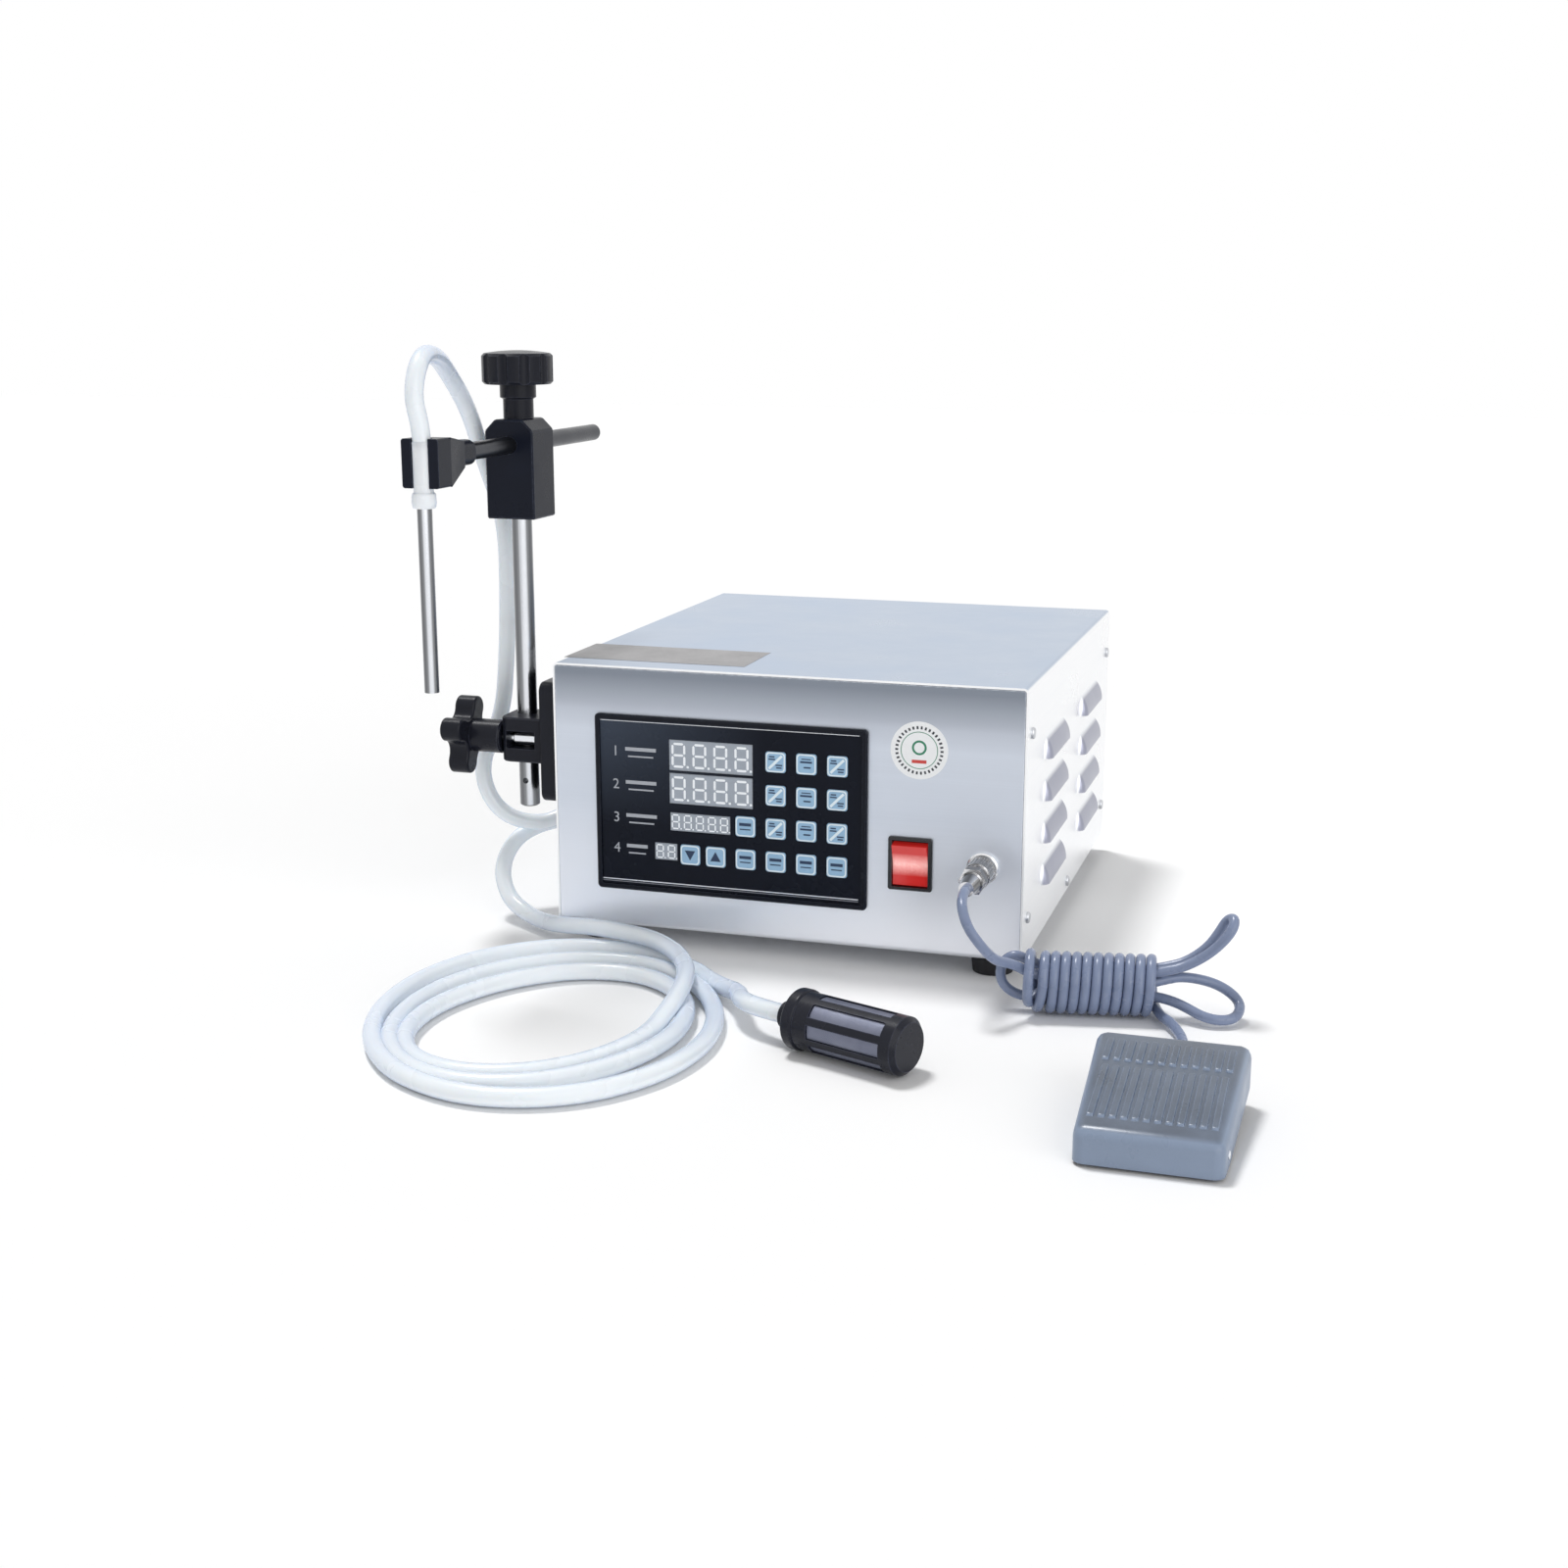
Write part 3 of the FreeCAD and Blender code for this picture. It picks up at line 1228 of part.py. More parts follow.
def clamp_knob():
    """Four-lobed star knob with a round hub."""
    hub_end = CLAMP_LEFT - SEAT_GAP
    hub_start = hub_end - STAR_HUB_LEN
    hub = rod_between(
        V(hub_start - STAR_T / 2, STUD_Y, CLAMP_MID), V(hub_end, STUD_Y, CLAMP_MID), STAR_HUB_R
    )
    hub = hub.makeChamfer(1.0, [e for e in hub.Edges if isinstance(e.Curve, Part.Circle)])
    lobe_at = STAR_SPAN - STAR_LOBE_R
    half = math.pi / STAR_LOBES
    spare = STAR_LOBE_R - STAR_VALLEY
    valley_at = (lobe_at**2 - spare**2) / (2 * (lobe_at * math.cos(half) + spare))

    def at(radius, angle):
        return V(0, radius * math.sin(angle), radius * math.cos(angle))

    def meeting(lobe, valley):
        line = at(valley_at, valley) - at(lobe_at, lobe)
        return at(lobe_at, lobe) + line.normalize() * STAR_LOBE_R

    outline = []
    for n in range(STAR_LOBES):
        middle = math.radians(STAR_PHASE) + 2 * half * n
        start, end = meeting(middle, middle - half), meeting(middle, middle + half)
        onward = meeting(middle + 2 * half, middle + half)
        outline.append(Part.Arc(start, at(STAR_SPAN, middle), end).toShape())
        outline.append(Part.Arc(end, at(STAR_VALLEY, middle + half), onward).toShape())
    star = Part.Face(Part.Wire(outline)).extrude(V(-STAR_T, 0, 0))
    star = star.makeFillet(STAR_EDGE, [e for e in star.Edges if isinstance(e.Curve, Part.Circle)])
    star.translate(V(hub_start, STUD_Y, CLAMP_MID))
    bore = rod_between(
        V(hub_end + 1, STUD_Y, CLAMP_MID),
        V(hub_end - STAR_HUB_LEN * 0.75, STUD_Y, CLAMP_MID),
        STUD_R + RUN_GAP,
    )
    return joined([hub, star]).cut(bore)


def pole():
    top = BLOCK_LOW + POLE_IN_BLOCK
    shaft = Part.makeCylinder(POLE_R, top - POLE_BOTTOM, V(POLE_X, POLE_Y, POLE_BOTTOM))
    shaft = shaft.makeChamfer(0.8, [e for e in shaft.Edges if isinstance(e.Curve, Part.Circle)])
    z = POLE_BOTTOM + POLE_HOLE_UP
    hole = rod_between(V(POLE_X, POLE_Y - POLE_R - 1, z), V(POLE_X, POLE_Y + POLE_R + 1, z), POLE_HOLE_R)
    return shaft.cut(hole)


# Arm, nozzle and holder


def arm_block():
    """Chamfered block: the pole comes in from below and the cross rod passes through its head."""
    half = BLOCK_W / 2
    outline = [
        V(POLE_X - half, 0, BLOCK_LOW),
        V(POLE_X + half, 0, BLOCK_LOW),
        V(POLE_X + half, 0, BLOCK_TOP - BLOCK_CHAMFER),
        V(POLE_X + half - BLOCK_CHAMFER, 0, BLOCK_TOP),
        V(POLE_X - half + BLOCK_CHAMFER, 0, BLOCK_TOP),
        V(POLE_X - half, 0, BLOCK_TOP - BLOCK_CHAMFER),
    ]
    block = face_of(outline).extrude(V(0, BLOCK_W, 0))
    block.translate(V(0, POLE_Y - half, 0))
    block = block.makeChamfer(BLOCK_EDGE, block.Edges)
    pole_bore = Part.makeCylinder(
        POLE_R + RUN_GAP, POLE_IN_BLOCK + SEAT_GAP + 1, V(POLE_X, POLE_Y, BLOCK_LOW - 1)
    )
    rod_bore = rod_between(
        V(POLE_X, POLE_Y - half - 1, ROD_Z), V(POLE_X, POLE_Y + half + 1, ROD_Z), ROD_R + RUN_GAP
    )
    screw_bore = Part.makeCylinder(KNOB_SCREW_R + RUN_GAP, BLOCK_TOP - ROD_Z + 1, V(POLE_X, POLE_Y, ROD_Z))
    return block.cut([pole_bore, rod_bore, screw_bore])


def arm_knob():
    """Fluted hand knob on a stepped neck, with the screw that grips the cross rod."""
    base = BLOCK_TOP + SEAT_GAP
    neck = base + KNOB_COLLAR_H
    head = neck + KNOB_NECK_H
    top = head + KNOB_H
    outline = [
        Part.LineSegment(V(0, 0, base), V(KNOB_COLLAR_R, 0, base)).toShape(),
        Part.LineSegment(V(KNOB_COLLAR_R, 0, base), V(KNOB_COLLAR_R, 0, neck)).toShape(),
        Part.LineSegment(V(KNOB_COLLAR_R, 0, neck), V(KNOB_NECK_R, 0, neck + 1)).toShape(),
        Part.LineSegment(V(KNOB_NECK_R, 0, neck + 1), V(KNOB_NECK_R, 0, head)).toShape(),
        Part.LineSegment(V(KNOB_NECK_R, 0, head), V(KNOB_R - 1.5, 0, head)).toShape(),
        Part.LineSegment(V(KNOB_R - 1.5, 0, head), V(KNOB_R, 0, head + 1.5)).toShape(),
        Part.LineSegment(V(KNOB_R, 0, head + 1.5), V(KNOB_R, 0, top - 1.5)).toShape(),
        Part.LineSegment(V(KNOB_R, 0, top - 1.5), V(KNOB_R - 1.5, 0, top)).toShape(),
        Part.Arc(
            V(KNOB_R - 1.5, 0, top), V(KNOB_R / 2, 0, top + KNOB_DOME * 0.7), V(0, 0, top + KNOB_DOME)
        ).toShape(),
        Part.LineSegment(V(0, 0, top + KNOB_DOME), V(0, 0, base)).toShape(),
    ]
    knob = Part.Face(Part.Wire(outline)).revolve(V(0, 0, 0), Z_AXIS, 360)
    cuts = []
    reach = KNOB_R + KNOB_FLUTE_R - KNOB_FLUTE_DEEP
    for n in range(KNOB_FLUTES):
        angle = 2 * math.pi * (n + 0.5) / KNOB_FLUTES
        place = V(reach * math.cos(angle), reach * math.sin(angle), head - 1)
        cuts.append(Part.makeCylinder(KNOB_FLUTE_R, KNOB_H + KNOB_DOME + 2, place))
    knob = knob.cut(cuts)
    screw_low = ROD_Z + ROD_R + SEAT_GAP
    screw = Part.makeCylinder(KNOB_SCREW_R, base - screw_low + 1, V(0, 0, screw_low))
    knob = joined([knob, screw])
    knob.translate(V(POLE_X, POLE_Y, 0))
    return knob


def cross_rod():
    rod = rod_between(V(POLE_X, ROD_FRONT, ROD_Z), V(POLE_X, ROD_BACK, ROD_Z), ROD_R)
    return rod.makeChamfer(ROD_CHAMFER, [e for e in rod.Edges if isinstance(e.Curve, Part.Circle)])


def nozzle_holder():
    """Grooved plate that grips the hose and nozzle, tapering back to a socket on the rod."""
    half = HOLDER_W / 2
    low, high = HOLDER_MID - HOLDER_H / 2, HOLDER_MID + HOLDER_H / 2
    plate_back = HOLDER_FRONT + HOLDER_PLATE
    neck_front = HOLDER_BACK - HOLDER_NECK
    plate = box(POLE_X - half, HOLDER_FRONT, low, POLE_X + half, plate_back, high)
    neck_half = HOLDER_NECK / 2
    taper = Part.makeWedge(
        -half,
        0,
        low - ROD_Z,
        -neck_half,
        -neck_half,
        half,
        neck_front - plate_back,
        high - ROD_Z,
        neck_half,
        neck_half,
    )
    taper.translate(V(POLE_X, plate_back, ROD_Z))
    neck = box(
        POLE_X - neck_half,
        neck_front,
        ROD_Z - neck_half,
        POLE_X + neck_half,
        HOLDER_BACK,
        ROD_Z + neck_half,
    )
    neck = neck.makeFillet(neck_half * 0.8, edges_along(neck, Y_AXIS, lambda c: True))
    plate = plate.makeFillet(HOLDER_EDGE, edges_along(plate, Y_AXIS, lambda c: True))
    holder = joined([plate, taper, neck])
    groove = Part.makeCylinder(SLEEVE_OUT + HOSE_GAP, HOLDER_H + 2, V(POLE_X, NOZZLE_Y, low - 1))
    bore = rod_between(
        V(POLE_X, ROD_FRONT - SEAT_GAP, ROD_Z), V(POLE_X, HOLDER_BACK + 1, ROD_Z), ROD_R + RUN_GAP
    )
    return holder.cut([groove, bore])


def nozzle():
    tube = Part.makeCylinder(NOZZLE_R, NOZZLE_TOP - NOZZLE_LOW, V(POLE_X, NOZZLE_Y, NOZZLE_LOW))
    bore = Part.makeCylinder(
        NOZZLE_BORE_R, NOZZLE_TOP - NOZZLE_LOW + 2, V(POLE_X, NOZZLE_Y, NOZZLE_LOW - 1)
    )
    return tube.cut(bore)


def outlet_hose():
    """The four stretches of the outlet hose."""
    points = []
    splits = []
    for stretch in (OUTLET_SIDE, OUTLET_RISE, OUTLET_ARCH, OUTLET_DROP):
        points += stretch
        splits.append(len(points) - 1)
    return cord(points, HOSE_R, "outlet hose", splits[:-1])


def hose_sleeve():
    """The end of the outlet hose, stretched over the top of the nozzle."""
    sleeve = Part.makeCylinder(SLEEVE_OUT, NOZZLE_TOP - SLEEVE_LOW, V(POLE_X, NOZZLE_Y, SLEEVE_LOW))
    bore = Part.makeCylinder(
        NOZZLE_R + RUN_GAP, NOZZLE_TOP - SLEEVE_LOW + 2, V(POLE_X, NOZZLE_Y, SLEEVE_LOW - 2)
    )
    return sleeve.cut(bore)


# Suction hose and strainer


def flat_ellipse(middle, major, minor, turn, height):
    centre = V(middle[0], middle[1], 0)
    along = V(math.cos(math.radians(turn)), math.sin(math.radians(turn)), 0)
    across = V(-along.y, along.x, 0)
    ring = Part.Ellipse(centre + along * major, centre + across * minor, centre)
    return Part.Face(Part.Wire([ring.toShape()])).extrude(V(0, 0, height))


def suction_hose_coil():
    """The loose coil: the turns' outer shape, open in the middle."""
    outer = flat_ellipse(COIL_OUTER_AT, COIL_OUTER[0], COIL_OUTER[1], COIL_OUTER_TURN, COIL_H)
    rim = [e for e in outer.Edges if e.CenterOfMass.z > COIL_H - 0.1 or e.CenterOfMass.z < 0.1]
    outer = outer.makeFillet(COIL_ROUND, rim)
    inner = flat_ellipse(COIL_INNER_AT, COIL_INNER[0], COIL_INNER[1], COIL_INNER_TURN, COIL_H + 2)
    inner.translate(V(0, 0, -1))
    entry = channel(SUCTION_ROUTE[::-1][:6], HOSE_R)
    leave = channel(TAIL_ROUTE, HOSE_R)
    return outer.cut([inner, entry, leave])


def on_strainer(shape):
    """Move a shape made along X from the neck's end to where the strainer lies."""
    shape.rotate(V(0, 0, 0), Z_AXIS, STRAINER_TURN)
    shape.translate(V(TAIL_ROUTE[-1][0], TAIL_ROUTE[-1][1], TAIL_ROUTE[-1][2]))
    return shape


def strainer_cap():
    neck = Part.makeCylinder(STRAINER_NECK_R, STRAINER_NECK_LEN + 0.5, V(0, 0, 0), X_AXIS)
    flange = Part.makeCylinder(
        STRAINER_FLANGE_R, STRAINER_FLANGE_T, V(STRAINER_NECK_LEN, 0, 0), X_AXIS
    )
    flange = flange.makeFillet(1.5, [e for e in flange.Edges if isinstance(e.Curve, Part.Circle)])
    return on_strainer(joined([neck, flange]))


def strainer_cage():
    """Ribbed cage with long windows round an inner filter tube."""
    start = STRAINER_NECK_LEN + STRAINER_FLANGE_T
    body = Part.makeCylinder(STRAINER_R, STRAINER_LEN, V(start, 0, 0), X_AXIS)
    end = [e for e in body.Edges if e.CenterOfMass.x > start + STRAINER_LEN - 0.1]
    body = body.makeChamfer(2.5, end)
    margin = (STRAINER_LEN - STRAINER_WINDOW_L) / 2
    cuts = []
    for n in range(STRAINER_WINDOWS):
        window = box(
            start + margin,
            -STRAINER_WINDOW_W / 2,
            STRAINER_CORE_R,
            start + margin + STRAINER_WINDOW_L,
            STRAINER_WINDOW_W / 2,
            STRAINER_R + 2,
        )
        window.rotate(V(0, 0, 0), X_AXIS, 360.0 * n / STRAINER_WINDOWS)
        cuts.append(window)
    return on_strainer(body.cut(cuts))


# Rear and inside


def hose_ports():
    """Two bulkhead fittings through the rear sheet into the pump head."""
    fittings = []
    for z in (PORT_OUT_Z, PORT_IN_Z):
        seat = V(PORT_X, BACK, z)
        hexagon_part = hexagon(seat, PORT_HEX_R, PORT_HEX_T, Y_AXIS)
        nut = rod_between(seat + V(0, PORT_HEX_T, 0), seat + V(0, PORT_HEX_T + PORT_NUT_LEN, 0), PORT_NUT_R)
        nut = nut.makeChamfer(1.0, [e for e in nut.Edges if e.CenterOfMass.y > BACK + PORT_HEX_T + 1])
        shank = rod_between(seat, seat - V(0, CHASSIS_T + PORT_SHANK_IN, 0), PORT_SHANK_R)
        fittings.append(joined([hexagon_part, nut, shank]))
    return Part.makeCompound(fittings)


def pump_head():
    mid_z = (PORT_OUT_Z + PORT_IN_Z) / 2
    far = BACK - CHASSIS_T - SEAT_GAP
    head = plate_on_front(PORT_X, mid_z, HEAD_W, HEAD_H, far - HEAD_D, far, HEAD_CORNER)
    cuts = []
    for z in (PORT_OUT_Z, PORT_IN_Z):
        cuts.append(
            rod_between(V(PORT_X, far + 1, z), V(
                PORT_X, BACK - CHASSIS_T - PORT_SHANK_IN - 1, z
            ), PORT_SHANK_R + SEAT_GAP)
        )
    for n in (-1, 0, 1):
        y = far - HEAD_D / 2 + n * HEAD_D / 4
        groove = plate_on_front(PORT_X, mid_z, HEAD_W + 2, HEAD_H + 2, y - 1, y + 1)
        groove = groove.cut(
            plate_on_front(PORT_X, mid_z, HEAD_W - 3, HEAD_H - 3, y - 2, y + 2, HEAD_CORNER)
        )
        cuts.append(groove)
    return head.cut(cuts)


def pump_motor():
    """Motor can with end bells, on a saddle that stands on the chassis."""
    mid_z = (PORT_OUT_Z + PORT_IN_Z) / 2
    far = BACK - CHASSIS_T - SEAT_GAP - HEAD_D
    start = far - MOTOR_LEN
    can = rod_between(V(PORT_X, start + 8, mid_z), V(PORT_X, far - 6, mid_z), MOTOR_R)
    front_bell = rod_between(V(PORT_X, far - 8, mid_z), V(PORT_X, far, mid_z), MOTOR_R - 2)
    rear_bell = rod_between(V(PORT_X, start, mid_z), V(PORT_X, start + 9, mid_z), MOTOR_R - 3)
    strap_y = (start + far) / 2
    half = MOTOR_FOOT_W / 2
    near_y, far_y = strap_y - MOTOR_STRAP_L / 2, strap_y + MOTOR_STRAP_L / 2
    saddle = box(PORT_X - half, near_y, FLOOR_IN, PORT_X + half, far_y, FLOOR_IN + MOTOR_FOOT_T)
    legs = []
    for side in (-1, 1):
        mid_x = PORT_X + side * (half - MOTOR_FOOT_T / 2)
        low_x, high_x = mid_x - MOTOR_FOOT_T / 2, mid_x + MOTOR_FOOT_T / 2
        legs.append(box(low_x, near_y, FLOOR_IN, high_x, far_y, mid_z - MOTOR_R * 0.5))
    return joined([can, front_bell, rear_bell, saddle] + legs)


def power_supply():
    """Vented power supply box with its terminal strip."""
    x0, x1 = SUPPLY_X - SUPPLY_W / 2, SUPPLY_X + SUPPLY_W / 2
    y0, y1 = SUPPLY_Y - SUPPLY_D / 2, SUPPLY_Y + SUPPLY_D / 2
    case = box(x0, y0, FLOOR_IN, x1, y1, FLOOR_IN + SUPPLY_H)
    cuts = []
    for n in range(SUPPLY_SLOTS):
        y = SUPPLY_Y + (n - (SUPPLY_SLOTS - 1) / 2) * SUPPLY_SLOT_PITCH
        cuts.append(
            box(
                x0 + 15,
                y - SUPPLY_SLOT_W / 2,
                FLOOR_IN + SUPPLY_H - 2,
                x1 - 15,
                y + SUPPLY_SLOT_W / 2,
                FLOOR_IN + SUPPLY_H + 1,
            )
        )
    strip = box(
        SUPPLY_X - TERMINAL_W / 2,
        y0 - 9,
        FLOOR_IN,
        SUPPLY_X + TERMINAL_W / 2,
        y0 + 1,
        FLOOR_IN + TERMINAL_H,
    )
    return joined([case.cut(cuts), strip])


def power_inlet():
    """Three-pin mains inlet on the rear sheet."""
    z = BASE + INLET_Z
    flange = plate_on_front(INLET_X, z, INLET_W, INLET_H, BACK, BACK + INLET_T, 4.0)
    body = plate_on_front(INLET_X, z, INLET_BODY_W, INLET_BODY_H, BACK - INLET_DEPTH, BACK)
    hollow = plate_on_front(
        INLET_X,
        z,
        INLET_BODY_W - 2 * INLET_WALL,
        INLET_BODY_H - 2 * INLET_WALL,
        BACK - INLET_DEPTH + INLET_WALL,
        BACK + INLET_T + 1,
        3.0,
    )
    shell = joined([flange, body]).cut(hollow)
    floor = BACK - INLET_DEPTH + INLET_WALL
    pins = [shell]
    for n in (-1, 0, 1):
        x = INLET_X + n * PIN_PITCH
        pin_z = z + (PIN_PITCH / 2 if n == 0 else -PIN_PITCH / 2 + 1)
        pins.append(rod_between(V(x, floor - 1, pin_z), V(x, floor + PIN_LEN, pin_z), PIN_R))
    return joined(pins)


def build():
    os.makedirs("parts", exist_ok=True)
    save("base_chassis", base_chassis())
    save("top_cover", top_cover())
    save("cover_screws", cover_screws())
    save("rubber_feet", rubber_feet())
    save("panel_frame", panel_frame())
    save("panel_overlay", panel_overlay())
    save("digit_displays", digit_displays())
    save("control_board", control_board())
    for n, (x, z) in enumerate(key_places()):
        save("key_%02d" % (n + 1), key(x, z))
    save("switch_housing", switch_housing())
    save("switch_rocker", switch_rocker())
    save("foot_socket", foot_socket())
    save("foot_plug", foot_plug())
    save("plug_ring", plug_ring())
    save("foot_cable_lead", cord(LEAD_ROUTE, CABLE_R, "foot cable lead")[0])
    save("foot_cable_hank", foot_cable_hank())
    save("foot_cable_tail", cord(CABLE_TAIL_ROUTE, CABLE_R, "foot cable tail")[0])
    save("pedal_base", pedal_base())
    save("pedal_treadle", pedal_treadle())
    save("pedal_pin", pedal_pin())
    save("pedal_spring", pedal_spring())
    save("pedal_switch", pedal_switch())
    save("pole_bracket", pole_bracket())
    save("clamp_stud", clamp_stud())
    save("clamp_knob", clamp_knob())
    save("pole", pole())
    save("arm_block", arm_block())
    save("arm_knob", arm_knob())
    save("cross_rod", cross_rod())
    save("nozzle_holder", nozzle_holder())
    save("nozzle", nozzle())
    hose = outlet_hose()
    save("outlet_hose_side", hose[0])
    save("outlet_hose_rise", hose[1])
    save("outlet_hose_arch", hose[2])
    save("outlet_hose_drop", joined([hose[3], hose_sleeve()]))
    save("suction_hose_lead", cord(SUCTION_ROUTE, HOSE_R, "suction hose lead")[0])
    save("suction_hose_coil", suction_hose_coil())
    save("suction_hose_tail", cord(TAIL_ROUTE, HOSE_R, "suction hose tail")[0])
    save("strainer_cap", strainer_cap())
    save("strainer_cage", strainer_cage())
    save("hose_ports", hose_ports())
    save("power_inlet", power_inlet())
    save("pump_head", pump_head())
    save("pump_motor", pump_motor())
    save("power_supply", power_supply())


build()
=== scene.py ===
"""Looks of a bench liquid filling machine, dressed over its CAD frame."""

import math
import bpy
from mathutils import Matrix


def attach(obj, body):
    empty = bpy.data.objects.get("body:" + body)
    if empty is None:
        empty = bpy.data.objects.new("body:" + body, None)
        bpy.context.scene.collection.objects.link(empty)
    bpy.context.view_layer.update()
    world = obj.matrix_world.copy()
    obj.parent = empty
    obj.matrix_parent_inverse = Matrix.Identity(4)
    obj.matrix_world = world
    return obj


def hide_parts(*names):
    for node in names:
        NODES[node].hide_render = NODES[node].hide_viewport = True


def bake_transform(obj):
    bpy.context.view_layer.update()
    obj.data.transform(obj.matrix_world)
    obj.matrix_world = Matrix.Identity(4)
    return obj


bl_info = {
    "name": "Filling machine looks",
    "version": (1, 0, 0),
    "blender": (4, 5, 0),
    "location": "3D View > Sidebar > Filling machine",
    "description": "Finishes, printed marks, hoses and foot cable for the filling machine's CAD frame",
    "category": "Object",
}

import bmesh
import bpy
from bpy.props import FloatProperty, FloatVectorProperty, PointerProperty
from mathutils import Matrix, Vector

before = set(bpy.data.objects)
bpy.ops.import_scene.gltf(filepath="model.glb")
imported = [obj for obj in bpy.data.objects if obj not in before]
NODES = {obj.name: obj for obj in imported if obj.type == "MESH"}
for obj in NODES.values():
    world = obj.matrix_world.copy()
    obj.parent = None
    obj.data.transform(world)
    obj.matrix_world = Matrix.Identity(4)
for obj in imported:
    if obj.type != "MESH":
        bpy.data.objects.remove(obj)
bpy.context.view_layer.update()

# Routes of the hoses and the cable, repeated from the part's source, in metres.

OUTLET_SIDE = [
    (-0.058, 0.170, 0.088),
    (-0.058, 0.2087, 0.088),
    (-0.0858, 0.2365, 0.088),
    (-0.1252, 0.2365, 0.086),
    (-0.153, 0.2087, 0.082),
    (-0.154, 0.150, 0.078),
    (-0.153, 0.082, 0.075),
    (-0.1535, 0.020, 0.0735),
    (-0.1531, -0.0279, 0.0736),
    (-0.1504, -0.0671, 0.0723),
    (-0.1697, -0.0908, 0.0528),
    (-0.1984, -0.1048, 0.0602),
    (-0.2126, -0.1045, 0.0897),
    (-0.1978, -0.0967, 0.1223),
    (-0.1921, -0.1002, 0.1616),
]
OUTLET_RISE = [(-0.1901, -0.100, 0.2039), (-0.1904, -0.100, 0.2453)]
OUTLET_ARCH = [
    (-0.1990, -0.1110, 0.2840),
    (-0.1950, -0.1350, 0.3115),
    (-0.1900, -0.1690, 0.3330),
    (-0.1815, -0.2010, 0.3440),
]
OUTLET_DROP = [
    (-0.1720, -0.2370, 0.3450),
    (-0.1715, -0.2490, 0.3250),
    (-0.168, -0.247, 0.307),
    (-0.168, -0.247, 0.298),
]
AT_MAST = (-0.1911, -0.1001, 0.18275)
AT_BLOCK = (-0.1947, -0.1055, 0.26465)
AT_ARM = (-0.17675, -0.2190, 0.3445)
NOZZLE_AXIS = (-0.168, -0.247, 0.0)

# The outlet hose's stretches: name, route, two bodies, and the start and end of the blend between them.

OUTLET_STRETCHES = (
    (
        "outlet_side",
        OUTLET_SIDE + [AT_MAST],
        ("machine", "mast"),
        (-0.205, -0.060, 0.060),
        (-0.192, -0.100, 0.182),
    ),
    (
        "outlet_rise",
        [AT_MAST] + OUTLET_RISE + [AT_BLOCK],
        ("mast", "head_block"),
        (-0.1904, -0.1001, 0.190),
        (-0.1904, -0.1001, 0.262),
    ),
    (
        "outlet_arch",
        [AT_BLOCK] + OUTLET_ARCH + [AT_ARM],
        ("head_block", "arm"),
        (-0.195, -0.115, 0.288),
        (-0.178, -0.207, 0.344),
    ),
    (
        "outlet_drop",
        [AT_ARM] + OUTLET_DROP,
        ("arm", "nozzle_group"),
        (-0.175, -0.222, 0.3445),
        (-0.169, -0.247, 0.315),
    ),
)

SUCTION_LEAD = [
    (-0.058, 0.170, 0.064),
    (-0.058, 0.2087, 0.064),
    (-0.0858, 0.2365, 0.064),
    (-0.1252, 0.2365, 0.063),
    (-0.153, 0.2087, 0.062),
    (-0.154, 0.150, 0.060),
    (-0.153, 0.082, 0.058),
    (-0.1535, 0.020, 0.057),
    (-0.1511, -0.0275, 0.0559),
    (-0.1553, -0.0629, 0.0529),
    (-0.1772, -0.0808, 0.053),
    (-0.1922, -0.0956, 0.0451),
    (-0.1954, -0.1117, 0.0298),
    (-0.1855, -0.1243, 0.014),
    (-0.1664, -0.134, 0.0071),
    (-0.1481, -0.147, 0.008),
    (-0.1302, -0.1599, 0.012),
    (-0.111, -0.1695, 0.0159),
    (-0.091, -0.173, 0.016),
]
SUCTION_TAIL = [
    (-0.023, -0.211, 0.0054),
    (-0.0084, -0.2267, 0.0078),
    (0.0044, -0.2429, 0.0121),
    (0.0115, -0.2606, 0.0149),
    (0.023, -0.2717, 0.016),
    (0.0417, -0.2787, 0.016),
]

# The strainer on the hose's end, in metres and degrees, and the screens in its windows.

STRAINER_END, STRAINER_TURN = (0.0417, -0.2787, 0.016), 20.4
SCREEN_RADIUS, SCREEN_HALF_WIDTH, SCREEN_COUNT = 0.0141, 0.0036, 8
SCREEN_ENDS = (0.0242, 0.0678)

CABLE_LEAD = [
    (0.117, -0.1945, 0.0655),
    (0.117, -0.2095, 0.0655),
    (0.1225, -0.2200, 0.0540),
    (0.1310, -0.2222, 0.0440),
    (0.1375, -0.2138, 0.0335),
]
CABLE_TAIL = [
    (0.2284, -0.2003, 0.005),
    (0.2361, -0.2155, 0.0034),
    (0.2394, -0.2331, 0.0034),
    (0.240, -0.2514, 0.0038),
    (0.240, -0.268, 0.008),
    (0.240, -0.285, 0.008),
]

# The coil of suction hose: an inner and an outer ring, egg-shaped and turned on the bench.

COIL_INNER = {"centre": (-0.088, -0.298), "long": 0.081, "short": 0.062, "turn": 77.5}
COIL_OUTER = {"centre": (-0.086, -0.287), "long": 0.119, "short": 0.092, "turn": 105.0}
COIL_REST = 0.0054
CROSSING = [
    (80, 0.86, 0.0162),
    (66, 0.69, 0.0163),
    (52, 0.50, 0.0162),
    (38, 0.31, 0.0156),
    (25, 0.15, 0.0126),
    (12, 0.04, 0.0090),
]
COIL_POINTS = 44
COIL_SWEEP = 1030.0

# The hank of foot cable, in its own frame: along the drum, across it and up from its middle.

